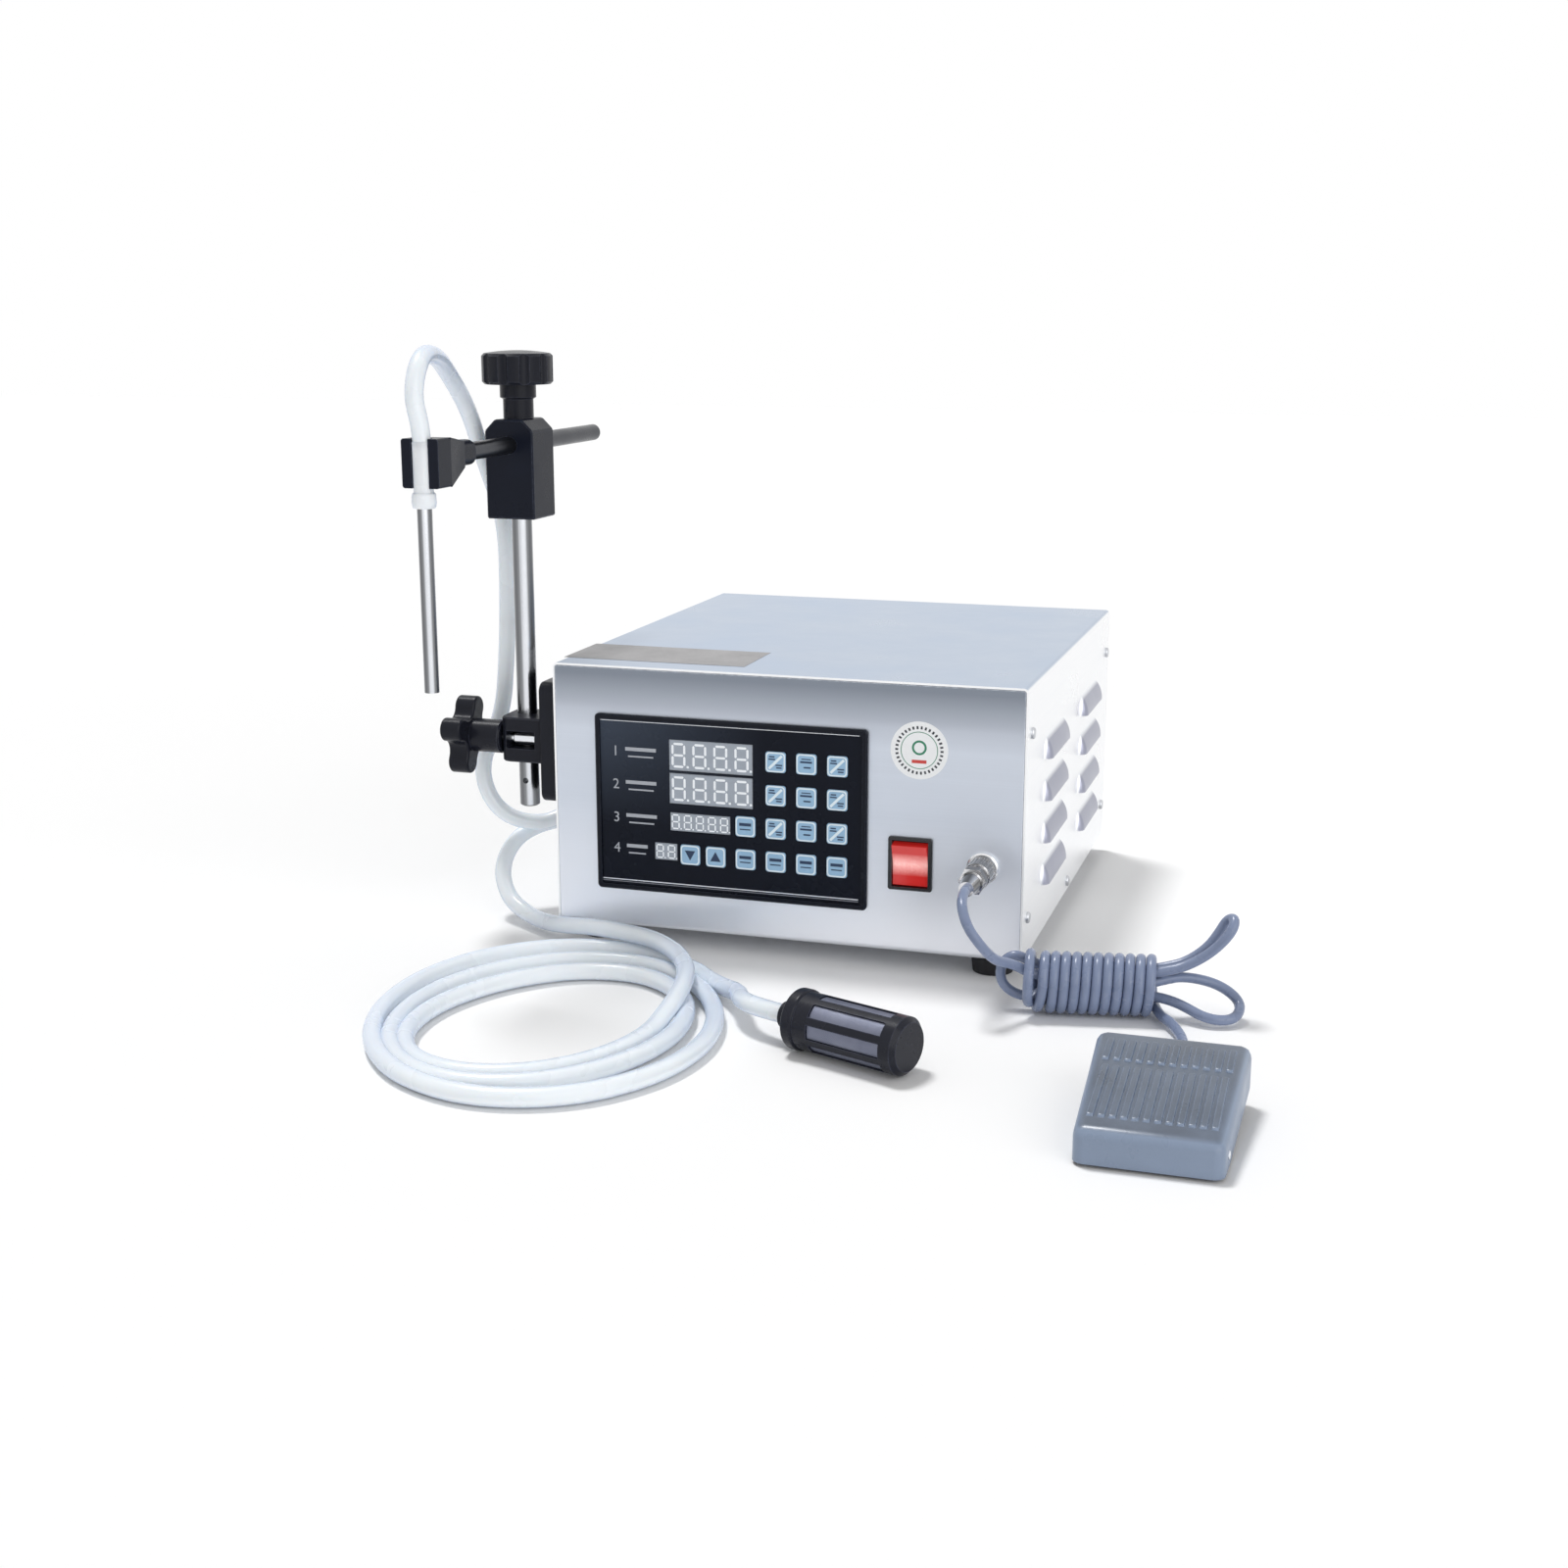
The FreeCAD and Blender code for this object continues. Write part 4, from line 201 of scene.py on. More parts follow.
HANK_MIDDLE = Vector((0.1895, -0.187, 0.0175))
HANK_ALONG = Vector((0.9816, 0.1908, 0.0))
HANK_ACROSS = Vector((-0.1908, 0.9816, 0.0))
HANK_IN = [
    (-47.0, -7.4, 12.0),
    (-38, -5.2, 6.4),
    (-26, -5.0, 4.6),
    (-10, -5.4, 0.5),
    (10, -4.2, -0.5),
    (22, -1.5, 0.4),
    (33, 1.8, 2.6),
]
HANK_RIGHT_LOOP = [
    (44.4, 5.6, 4.0),
    (63.2, 8.1, -0.5),
    (75.2, 1.7, -8.6),
    (70.2, -12.6, -13.6),
    (55.6, -15.0, -12.8),
    (42.2, -5.7, -8.0),
    (33, -0.6, -6.6),
]
HANK_BACK = [(22, 1.8, -5.8), (0, 2.6, -5.6), (-24, 3.0, -6.2), (-31, 3.3, -7.4)]
HANK_LEFT_LOOP = [
    (-41, 3.8, -10.6),
    (-52.5, 5.1, -4.5),
    (-53.6, 6.3, 7.0),
    (-46.0, 6.2, 13.4),
    (-36.5, 5.2, 9.2),
]
HANK_OVER = [(-26, 4.2, 6.4), (-8, 3.7, 6.0), (12, 3.8, 6.4), (24, 4.2, 7.2), (34, 4.8, 8.8)]
HANK_UP_FOLD = [
    (45, 5.4, 11.8),
    (56.0, 7.0, 19.5),
    (62.0, 9.4, 27.5),
    (66.0, 9.8, 35.0),
    (69.4, 4.3, 37.6),
    (67.8, -1.4, 32.0),
    (58.6, -1.2, 20.6),
    (45, -0.8, 11.6),
]
HANK_HOME = [
    (34, -1.6, 8.8),
    (22, -2.4, 7.0),
    (5, -2.2, 7.1),
    (-15, 0.6, 1.2),
    (-26, 0.3, -0.2),
    (-33, -1.0, -6.6),
]
HANK_LOOSE_TURN = [
    (-38.2, -7.6, -10.6),
    (-38.9, -13.6, -3.4),
    (-38.4, -12.8, 7.0),
    (-37.8, -6.5, 14.8),
    (-37.2, 3.5, 15.6),
    (-36.5, 11.4, 10.0),
    (-35.8, 13.8, 1.0),
    (-35.0, 11.4, -9.0),
    (-34.0, 4.0, -14.6),
    (-33.0, -5.4, -13.4),
    (-32.0, -11.4, -7.0),
]
HANK_LEAVE = [(32.2, -10.6, -13.8)]
WRAP_START, WRAP_PITCH, WRAP_POINTS = -30.9, 5.6, 129
WRAP_ACROSS, WRAP_UP = 12.75, 14.75

# Places and sizes on the key panel and the front, in millimetres: X, then height.

FACE = {"film": -151.2, "lens": -150.7, "key": -151.9, "sheet": -150.0}
LEDGE = {"film": 0.05, "lens": 0.08, "key": 0.06, "sheet": 0.15}
DISPLAYS = [
    (-42.7, 117.9, 51.0, 18.5, 4),
    (-42.7, 98.2, 51.0, 18.5, 4),
    (-49.4, 78.3, 37.0, 11.2, 5),
    (-70.6, 59.9, 14.2, 10.5, 2),
]
KEY_COLUMNS, KEY_ROWS = (-3.5, 14.7, 32.9), (118.0, 98.4, 78.8, 59.2)
KEY_PLACES = [(x, z) for z in KEY_ROWS for x in KEY_COLUMNS]
KEY_PLACES += [(-21.7, 78.8), (-21.7, 59.2), (-55.5, 59.2), (-39.9, 59.2)]
LEGENDS = [("1", 117.9), ("2", 98.2), ("3", 78.3), ("4", 59.9)]
LEGEND_FIGURE_X, LEGEND_BARS_X = -101.0, -95.0
PANEL_LINE_X, PANEL_LINE_LONG = -32.4, 156.0
STICKER_X, STICKER_Z, STICKER_RADIUS = 79.6, 130.0, 16.4
DASH_COUNT, DASH_RADIUS = 34, 12.9

# The rocker: its pivot in metres, its tilt at rest in degrees, and each half's slant as sine and cosine.

ROCKER_PIVOT = Vector((0.0755, -0.146, 0.0645))
ROCKER_REST_TILT, ROCKER_HALF_TILT = 10.0, (0.1775, 0.984)

# The pedal's tread, in metres: its middle in X, its front and back in Y, half its two widths, and its length.

TREAD_MIDDLE, TREAD_FRONT, TREAD_BACK = 0.240, -0.385, -0.289
TREAD_NARROW, TREAD_WIDE, TREAD_LONG = 0.0334, 0.0368, TREAD_BACK - TREAD_FRONT

# The photograph's camera: its place in metres, its turns in degrees, its sensor and lens in millimetres.

CAMERA_PLACE, CAMERA_DOWN, CAMERA_ASIDE = (0.33000, -1.20986, 0.37127), 13.478, 17.242
CAMERA_SENSOR, CAMERA_LENS = 36.0, 46.105


# Settings that a user would change.


def tint(label, words, default):
    return FloatVectorProperty(
        name=label, description=words, default=default, size=3, min=0.0, max=1.0, subtype="COLOR"
    )


def amount(label, words, default, low=0.0, high=10.0):
    return FloatProperty(name=label, description=words, default=default, min=low, max=high)


def length(label, words, default):
    return FloatProperty(
        name=label, description=words, default=default, min=0.0005, max=0.5, unit="LENGTH", precision=4
    )


class FillerSizes(bpy.types.PropertyGroup):
    """Sizes of the hoses, the cable and the printed marks"""

    outlet_hose: length("Outlet hose", "Outside diameter of the hose to the nozzle", 0.010)
    suction_hose: length("Suction hose", "Outside diameter of the hose to the strainer", 0.010)
    cable: length("Foot cable", "Outside diameter of the pedal's cable", 0.0055)
    sleeve_top: length("Sleeve top", "Height where the hose's sleeve over the nozzle starts", 0.2975)
    sleeve_end: length("Sleeve end", "Height where the hose's sleeve over the nozzle ends", 0.2655)
    nozzle_bore: length("Sleeve bore", "Inside radius of the sleeve over the nozzle", 0.00405)


class FillerColours(bpy.types.PropertyGroup):
    """Colours of the machine's finishes"""

    front: tint("Front sheet", "Brushed steel of the front", (0.62, 0.665, 0.745))
    cover: tint("Cover sheet", "Brushed steel of the cover", (0.95, 0.965, 0.995))
    rod: tint("Bright rod", "Turned stainless rod, nozzle and screws", (0.78, 0.80, 0.84))
    dark_rod: tint("Dark rod", "Blackened steel of the cross rod", (0.045, 0.048, 0.056))
    plastic: tint("Black plastic", "Moulded knobs, bracket and caps", (0.010, 0.011, 0.017))
    block: tint("Black alloy", "Anodised clamping blocks", (0.006, 0.008, 0.016))
    film: tint("Panel film", "Printed film of the key panel", (0.006, 0.008, 0.015))
    lens: tint("Display lens", "Grey face behind the digits", (0.36, 0.40, 0.46))
    digit: tint("Digit", "Unlit digit segments", (0.82, 0.85, 0.88))
    key: tint("Key", "Pale blue key film", (0.30, 0.50, 0.70))
    key_mark: tint("Key mark", "Dark blue marks on the keys", (0.010, 0.032, 0.085))
    switch: tint("Rocker", "Red rocker of the mains switch", (0.50, 0.016, 0.014))
    # Painted highlight: the pale, glowing band across the rocker's middle.
    glow: tint("Rocker glow", "Lit middle of the rocker", (1.0, 0.50, 0.47))
    hose: tint("Hose", "Milky silicone of the hoses", (0.88, 0.93, 0.995))
    cable: tint("Cable", "Grey-blue jacket of the foot cable", (0.20, 0.245, 0.37))
    pedal: tint("Pedal", "Grey-blue moulded pedal", (0.230, 0.290, 0.400))


class FillerLight(bpy.types.PropertyGroup):
    """Strengths of the studio light"""

    sky: amount("Sky", "Even light from all round", 0.39)
    key: amount("Key lamp", "Soft lamp above the left", 1.72)
    fill: amount("Fill lamp", "Wide lamp at the front right", 1.12)
    floor: amount("Floor", "How pale the floor is", 0.97, 0.0, 1.0)


def sizes():
    return bpy.context.scene.filler_sizes


def colours():
    return bpy.context.scene.filler_colours


def light():
    return bpy.context.scene.filler_light


# Node trees.


class Net:
    """A node tree with short calls that add and wire its nodes."""

    def __init__(self, tree):
        self.tree = tree

    def add(self, kind, inputs=None, **settings):
        node = self.tree.nodes.new("ShaderNode" + kind)
        for key, value in settings.items():
            setattr(node, key, value)
        for socket, source in (inputs or {}).items():
            self.feed(source, node.inputs[socket])
        return node

    def feed(self, source, socket):
        if isinstance(source, bpy.types.NodeSocket):
            self.tree.links.new(source, socket)
        elif socket.type == "RGBA" and len(source) == 3:
            socket.default_value = (*source, 1.0)
        else:
            socket.default_value = source

    def sum(self, operation, first, second=0.0, clamp=False):
        node = self.add("Math", {0: first, 1: second}, operation=operation, use_clamp=clamp)
        return node.outputs[0]

    def vector(self, operation, first, second=(0.0, 0.0, 0.0)):
        node = self.add("VectorMath", {0: first, 1: second}, operation=operation)
        return node.outputs["Value" if operation == "DOT_PRODUCT" else "Vector"]

    def shares(self, first, first_share, second, second_share):
        rest = self.sum("MULTIPLY", second, second_share)
        inputs = {0: first, 1: first_share, 2: rest}
        return self.add("Math", inputs, operation="MULTIPLY_ADD").outputs[0]

    def between(self, mask, first, second):
        node = self.add("Mix", {0: mask, 6: first, 7: second}, data_type="RGBA")
        return node.outputs[2]

    def span(self, value, low, high, to_low=0.0, to_high=1.0):
        inputs = {0: value, 1: low, 2: high, 3: to_low, 4: to_high}
        return self.add("MapRange", inputs, clamp=True).outputs[0]

    def noise(self, place, scale, detail=2.0, rough=0.5):
        inputs = {"Vector": place, "Scale": scale, "Detail": detail, "Roughness": rough}
        return self.add("TexNoise", inputs).outputs["Fac"]

    def place(self):
        return self.add("TexCoord").outputs["Object"]

    def bump(self, height, strength, distance):
        inputs = {"Height": height, "Strength": strength, "Distance": distance}
        return self.add("Bump", inputs).outputs["Normal"]

    def surface(self, shader, look, rough, height, strength, distance):
        """Feeds a finish's colour, roughness and bump."""
        self.feed(look, shader.inputs["Base Color"])
        self.feed(rough, shader.inputs["Roughness"])
        self.feed(self.bump(height, strength, distance), shader.inputs["Normal"])

    def effect(self, name, **inputs):
        node = self.add("Group")
        node.node_tree = bpy.data.node_groups[name]
        for socket, source in inputs.items():
            self.feed(source, node.inputs[socket])
        return node


def new_effect(name, inputs, outputs):
    """An empty effect group with float inputs and outputs."""
    group = bpy.data.node_groups.new(name, "ShaderNodeTree")
    for label, value in inputs.items():
        socket = group.interface.new_socket(name=label, in_out="INPUT", socket_type="NodeSocketFloat")
        socket.default_value = value
    for label in outputs:
        group.interface.new_socket(name=label, in_out="OUTPUT", socket_type="NodeSocketFloat")
    entry = group.nodes.new("NodeGroupInput")
    leave = group.nodes.new("NodeGroupOutput")
    return Net(group), entry.outputs, leave.inputs


def build_effects():
    """The effects that several finishes share."""
    net, given, out = new_effect("fine grain", {"Scale": 1500.0}, ["Height", "Shade"])
    place = net.place()
    fine = net.noise(place, given["Scale"], 3.0, 0.6)
    broad = net.noise(place, net.sum("MULTIPLY", given["Scale"], 0.12), 2.0)
    net.feed(fine, out["Height"])
    net.feed(net.shares(fine, 0.4, broad, 0.6), out["Shade"])

    net, given, out = new_effect("brushed lines", {"Along": 9.0, "Across": 900.0}, ["Height", "Shade"])
    place = net.place()
    along, across = given["Along"], given["Across"]
    level = net.add("CombineXYZ", {0: along, 1: across, 2: across}).outputs[0]
    aside = net.add("CombineXYZ", {0: across, 1: along, 2: across}).outputs[0]
    normal = net.add("SeparateXYZ", {0: net.add("NewGeometry").outputs["Normal"]}).outputs[0]
    sideways = net.sum("GREATER_THAN", net.sum("ABSOLUTE", normal), 0.6)
    scale = net.add("Mix", {0: sideways, 4: level, 5: aside}, data_type="VECTOR").outputs[1]
    lines = net.noise(net.vector("MULTIPLY", place, scale), 1.0, 2.0, 0.55)
    broad = net.noise(net.vector("MULTIPLY", place, scale), 0.13, 1.0)
    net.feed(lines, out["Height"])
    net.feed(net.shares(lines, 0.6, broad, 0.4), out["Shade"])

    # Edge mask: used for real wear on metal, for painted highlights along moulded and sheet edges, and for
    # painted shade at the lens's edges.
    net, given, out = new_effect("edge wear and painted light", {"Radius": 0.0008, "Amount": 1.0}, ["Mask"])
    soft = net.add("Bevel", {"Radius": given["Radius"]}, samples=4).outputs[0]
    sharp = net.add("NewGeometry").outputs["Normal"]
    turn = net.sum("SUBTRACT", 1.0, net.vector("DOT_PRODUCT", soft, sharp))
    patchy = net.span(net.noise(net.place(), 260.0, 3.0, 0.7), 0.38, 0.62, 0.25, 1.0)
    edge = net.sum("MULTIPLY", net.span(turn, 0.01, 0.10), patchy)
    net.feed(net.sum("MULTIPLY", edge, given["Amount"], clamp=True), out["Mask"])

    net, given, out = new_effect("smudges", {"Scale": 30.0}, ["Mask"])
    cloud = net.noise(net.place(), given["Scale"], 4.0, 0.62)
    net.feed(net.span(cloud, 0.35, 0.68), out["Mask"])


def new_material(name):
    material = bpy.data.materials.new(name)
    material.use_nodes = True
    net = Net(material.node_tree)
    material.node_tree.nodes.clear()
    shader = net.add("BsdfPrincipled")
    output = net.add("OutputMaterial")
    net.feed(shader.outputs["BSDF"], output.inputs["Surface"])
    return material, net, shader


def shaded(colour, factor):
    return tuple(min(1.0, part * factor) for part in colour)


def finish(
    name,
    colour,
    roughness,
    metallic=0.0,
    grain=1500.0,
    depth=0.00003,
    vary=0.08,
    smudge=0.10,
    edge_wear_and_highlight=None,
    edge_amount=0.6,
    edge_radius=0.0008,
    rim=None,
    coat=0.0,
    gloss=0.5,
):
    """A moulded, painted or turned finish: grain, smudges and, where given, edge wear with painted edge
    highlights, and painted reflection bands.
    """
    material, net, shader = new_material(name)
    fine = net.effect("fine grain", Scale=grain)
    mask = net.effect("smudges", Scale=34.0).outputs["Mask"]
    look = net.between(fine.outputs["Shade"], shaded(colour, 1 - vary), shaded(colour, 1 + vary))
    look = net.between(net.sum("MULTIPLY", mask, 0.35), look, shaded(colour, 1 + 1.5 * vary))
    # Painted reflection: light and dark bands across round metal, set by how far each face turns away from
    # the view.
    if rim:
        facing = net.add("LayerWeight", {"Blend": 0.5}).outputs["Facing"]
        ramp = net.add("ValToRGB", {0: facing})
        for n, (stop, shade) in enumerate(rim):
            if n > 1:
                ramp.color_ramp.elements.new(stop)
            ramp.color_ramp.elements[n].position = stop
            ramp.color_ramp.elements[n].color = (shade, shade, shade, 1.0)
        inputs = {0: 1.0, 6: look, 7: ramp.outputs[0]}
        look = net.add("Mix", inputs, data_type="RGBA", blend_type="MULTIPLY").outputs[2]
    # Edge colour: real wear on metal parts, and a painted highlight along the edges of the black and moulded
    # parts.
    if edge_wear_and_highlight:
        edge_mask = net.effect("edge wear and painted light", Radius=edge_radius, Amount=edge_amount)
        look = net.between(edge_mask.outputs["Mask"], look, edge_wear_and_highlight)
    rough = net.span(mask, 0.0, 1.0, max(0.03, roughness - smudge / 2), roughness + smudge / 2)
    net.surface(shader, look, rough, fine.outputs["Height"], 0.5, depth)
    shader.inputs["Metallic"].default_value = metallic
    shader.inputs["Specular IOR Level"].default_value = gloss
    shader.inputs["Coat Weight"].default_value = coat
    shader.inputs["Coat Roughness"].default_value = 0.15
    return material


def dress(material, *names):
    """Gives CAD nodes or pieces their finish."""
    for name in names:
        piece = NODES.get(name) or bpy.data.objects[name]
        if not piece.data.materials:
            piece.data.materials.append(material)
        for n in range(len(piece.data.materials)):
            piece.data.materials[n] = material


# Meshes.


def new_piece(name, bm, body, material, smooth=False):
    """Ends a bmesh as an object at the origin that rides on a body."""
    bmesh.ops.recalc_face_normals(bm, faces=bm.faces[:])
    for face in bm.faces:
        face.smooth = smooth
    mesh = bpy.data.meshes.new(name)
    bm.to_mesh(mesh)
    bm.free()
    mesh.set_sharp_from_angle(angle=math.radians(40))
    piece = bpy.data.objects.new(name, mesh)
    bpy.context.scene.collection.objects.link(piece)
    mesh.materials.append(material)
    if body:
        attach(piece, body)
    return piece


def patch(bm, outline, face):
    """A thin printed patch that faces the front, its outline in X and height, in millimetres."""
    back, lift = FACE[face] * 0.001, LEDGE[face] * 0.001
    made = bm.faces.new([bm.verts.new((x * 0.001, back + 0.00002, z * 0.001)) for x, z in outline])
    raised = bmesh.ops.extrude_face_region(bm, geom=[made])
    verts = [part for part in raised["geom"] if isinstance(part, bmesh.types.BMVert)]
    bmesh.ops.translate(bm, verts=verts, vec=(0.0, -lift - 0.00002, 0.0))


def bar(bm, x, z, long, wide, face, turn=0.0, pointed=False):
    """A bar mark about a middle, square or pointed at its ends."""
    a, b = long / 2, wide / 2
    outline = [(-a, -b), (a, -b), (a, b), (-a, b)]
    if pointed:
        outline = [(-a, 0), (-a + b, -b), (a - b, -b), (a, 0), (a - b, b), (-a + b, b)]
    c, s = math.cos(math.radians(turn)), math.sin(math.radians(turn))
    patch(bm, [(x + c * u - s * w, z + s * u + c * w) for u, w in outline], face)


def rounded(x, z, wide, high, radius, steps=4):
    """The outline of a rounded rectangle."""
    outline = []
    for quarter, (sx, sz) in enumerate(((1, 1), (-1, 1), (-1, -1), (1, -1))):
        for n in range(steps + 1):
            angle = math.radians(90 * (quarter + n / steps))
            outline.append(
                (
                    x + sx * (wide / 2 - radius) + radius * math.cos(angle),
                    z + sz * (high / 2 - radius) + radius * math.sin(angle),
                )
            )
    return outline


def frame_ring(bm, outer, inner, face):
    """A printed border between two outlines with the same number of points."""
    count = len(outer)
    for n in range(count):
        m = (n + 1) % count
        patch(bm, [outer[n], outer[m], inner[m], inner[n]], face)


def round_outline(x, z, radius, count=48):
    turns = [2 * math.pi * n / count for n in range(count)]
    return [(x + radius * math.cos(a), z + radius * math.sin(a)) for a in turns]


def print_text(name, words, height, x, z, face, body, material, slot):
    """A plain figure, printed on a face that looks to the front."""
    font = bpy.data.curves.new(name, "FONT")
    font.body, font.size = words, height * 0.001
    font.align_x, font.align_y = "CENTER", "CENTER"
    font.extrude = LEDGE[face] * 0.001 / 2
    shape = bpy.data.objects.new(name + "_draft", font)
    bpy.context.scene.collection.objects.link(shape)
    bpy.context.view_layer.update()
    mesh = bpy.data.meshes.new_from_object(shape)
    bpy.data.objects.remove(shape)
    bm = bmesh.new()
    bm.from_mesh(mesh)
    bpy.data.meshes.remove(mesh)
    upright = Matrix.Rotation(math.radians(90), 4, "X")
    spot = Matrix.Translation((x * 0.001, (FACE[face] - LEDGE[face] / 2) * 0.001, z * 0.001))
    bmesh.ops.remove_doubles(bm, verts=bm.verts[:], dist=1e-6)
    bmesh.ops.transform(bm, matrix=spot @ upright, verts=bm.verts[:])
    return new_piece(name, bm, body, material)


def route_curve(name, route, diameter=None):
    """A smooth open line through a route: a quadratic NURBS spline with its ends on the route's ends."""
    curve = bpy.data.curves.new(name, "CURVE")
    curve.dimensions = "3D"
    spline = curve.splines.new("NURBS")
    spline.points.add(len(route) - 1)
    for point, place in zip(spline.points, route):
        point.co = (*place, 1.0)
    spline.order_u = 3
    spline.use_endpoint_u = True
    spline.resolution_u = 8
    spline.use_smooth = True
    curve.resolution_u = curve.render_resolution_u = 8
    if diameter:
        curve.bevel_depth = diameter / 2
        curve.bevel_resolution = 5
        curve.use_fill_caps = True
    piece = bpy.data.objects.new(name, curve)
    bpy.context.scene.collection.objects.link(piece)
    return piece


def as_mesh(piece):
    """The mesh of a curve object, which is then removed."""
    bpy.context.view_layer.update()
    mesh = bpy.data.meshes.new_from_object(piece)
    bpy.data.objects.remove(piece)
    return mesh


def line_of(route):
    """The points that a route's smooth line goes through."""
    mesh = as_mesh(route_curve("line", route))
    points = [vert.co.copy() for vert in mesh.vertices]
    bpy.data.meshes.remove(mesh)
    return points


def along(points):
    return sum((b - a).length for a, b in zip(points, points[1:]))


# Operators, one for each piece or group of like pieces.


class FILLER_OT_stage(bpy.types.Operator):
    """Make the floor, the studio light and the camera"""

    bl_idname = "filler.stage"
    bl_label = "Stage"

    def execute(self, context):
        scene, lamps = context.scene, light()
        scene.view_settings.view_transform = "Standard"
        world = bpy.data.worlds.new("studio")
        scene.world = world
        world.use_nodes = True
        world.node_tree.nodes.clear()
        net = Net(world.node_tree)
        sky = net.add("Background", {"Color": (1.0, 1.0, 1.0), "Strength": lamps.sky})
        backdrop = net.add("Background", {"Color": (1.0, 1.0, 1.0), "Strength": 1.0})
        path = net.add("LightPath").outputs
        seen = net.sum("MAXIMUM", path["Is Camera Ray"], path["Is Glossy Ray"])
        seen = net.sum("MAXIMUM", seen, path["Is Transmission Ray"])
        mixed = net.add("MixShader", {0: seen, 1: sky.outputs[0], 2: backdrop.outputs[0]})
        net.feed(mixed.outputs[0], net.add("OutputWorld").inputs["Surface"])
        self.lamp("key lamp", lamps.key, 13.0, (0.32, -0.20, -1.0))
        self.lamp("fill lamp", lamps.fill, 60.0, (-0.85, 0.72, -0.40))
        self.floor(lamps.floor)
        self.camera(scene)
        return {"FINISHED"}

    def lamp(self, name, strength, spread, towards):
        sun = bpy.data.lights.new(name, "SUN")
        sun.energy, sun.angle = strength, math.radians(spread)
        piece = bpy.data.objects.new(name, sun)
        piece.rotation_euler = Vector(towards).to_track_quat("-Z", "Y").to_euler()
        bpy.context.scene.collection.objects.link(piece)

    def floor(self, pale):
        bm = bmesh.new()
        bmesh.ops.create_grid(bm, x_segments=1, y_segments=1, size=6.0)
        bmesh.ops.translate(bm, verts=bm.verts[:], vec=(0.0, 0.0, -0.0002))
        material, net, shader = new_material("studio floor")
        tone = net.noise(net.place(), 3.0)
        look = net.between(tone, (pale, pale, pale), (pale + 0.01,) * 3)
        net.feed(look, shader.inputs["Base Color"])
        seen = net.add("LightPath").outputs["Is Camera Ray"]
        glow = net.between(seen, (0.0, 0.0, 0.0), (0.005, 0.005, 0.005))
        net.feed(glow, shader.inputs["Emission Color"])
        shader.inputs["Emission Strength"].default_value = 1.0
        shader.inputs["Roughness"].default_value = 1.0
        shader.inputs["Specular IOR Level"].default_value = 0.0
        floor = new_piece("studio_floor", bm, None, material)

    def camera(self, scene):
        lens = bpy.data.cameras.new("photo camera")
        lens.sensor_width, lens.lens = CAMERA_SENSOR, CAMERA_LENS
        lens.clip_start, lens.clip_end = 0.05, 30.0
        camera = bpy.data.objects.new("photo camera", lens)
        camera.location = CAMERA_PLACE
        camera.rotation_euler = (math.radians(90 - CAMERA_DOWN), 0.0, math.radians(CAMERA_ASIDE))
        scene.collection.objects.link(camera)
        scene.camera = camera


def brushed(name, colour, along, across, roughness, painted_height_shade=(), above=None, painted_hood_shade=None):
    """Brushed sheet steel with painted light: tinted by height, darker and bluer where it faces up, and grey
    where it stands proud.
    """
    vary, deep = 0.05, 0.00001
    material, net, shader = new_material(name)
    lines = net.effect("brushed lines", Along=along, Across=across)
    mask = net.effect("smudges", Scale=11.0).outputs["Mask"]
    look = net.between(lines.outputs["Shade"], shaded(colour, 1 - vary), shaded(colour, 1 + vary))
    spot = net.add("SeparateXYZ", {0: net.place()}).outputs
    # Painted reflection: the steel is tinted in bands by height.
    for low, high, shade in painted_height_shade:
        look = net.between(net.span(spot[2], low, high), look, shade)
    # Painted shade: faces that look up take the darker, bluer colour.
    if above:
        facing = net.add("SeparateXYZ", {0: net.add("NewGeometry").outputs["Normal"]}).outputs[2]
        look = net.between(net.span(facing, 0.55, 0.85), look, above)
    # Painted shade: the sheet turns grey where it stands proud at the louvre hoods.
    if painted_hood_shade:
        proud = net.span(net.sum("ABSOLUTE", spot[0]), 0.1402, 0.1416)
        look = net.between(proud, look, painted_hood_shade)
    # Painted highlight: the sheet's edges are made paler.
    edge_mask = net.effect("edge wear and painted light", Radius=0.0012, Amount=0.75)
    look = net.between(edge_mask.outputs["Mask"], look, shaded(colour, 1.35))
    rough = net.span(mask, 0.0, 1.0, roughness - 0.05, roughness + 0.07)
    net.surface(shader, look, rough, lines.outputs["Height"], 0.35, deep)
    shader.inputs["Metallic"].default_value = 0.72
    return material


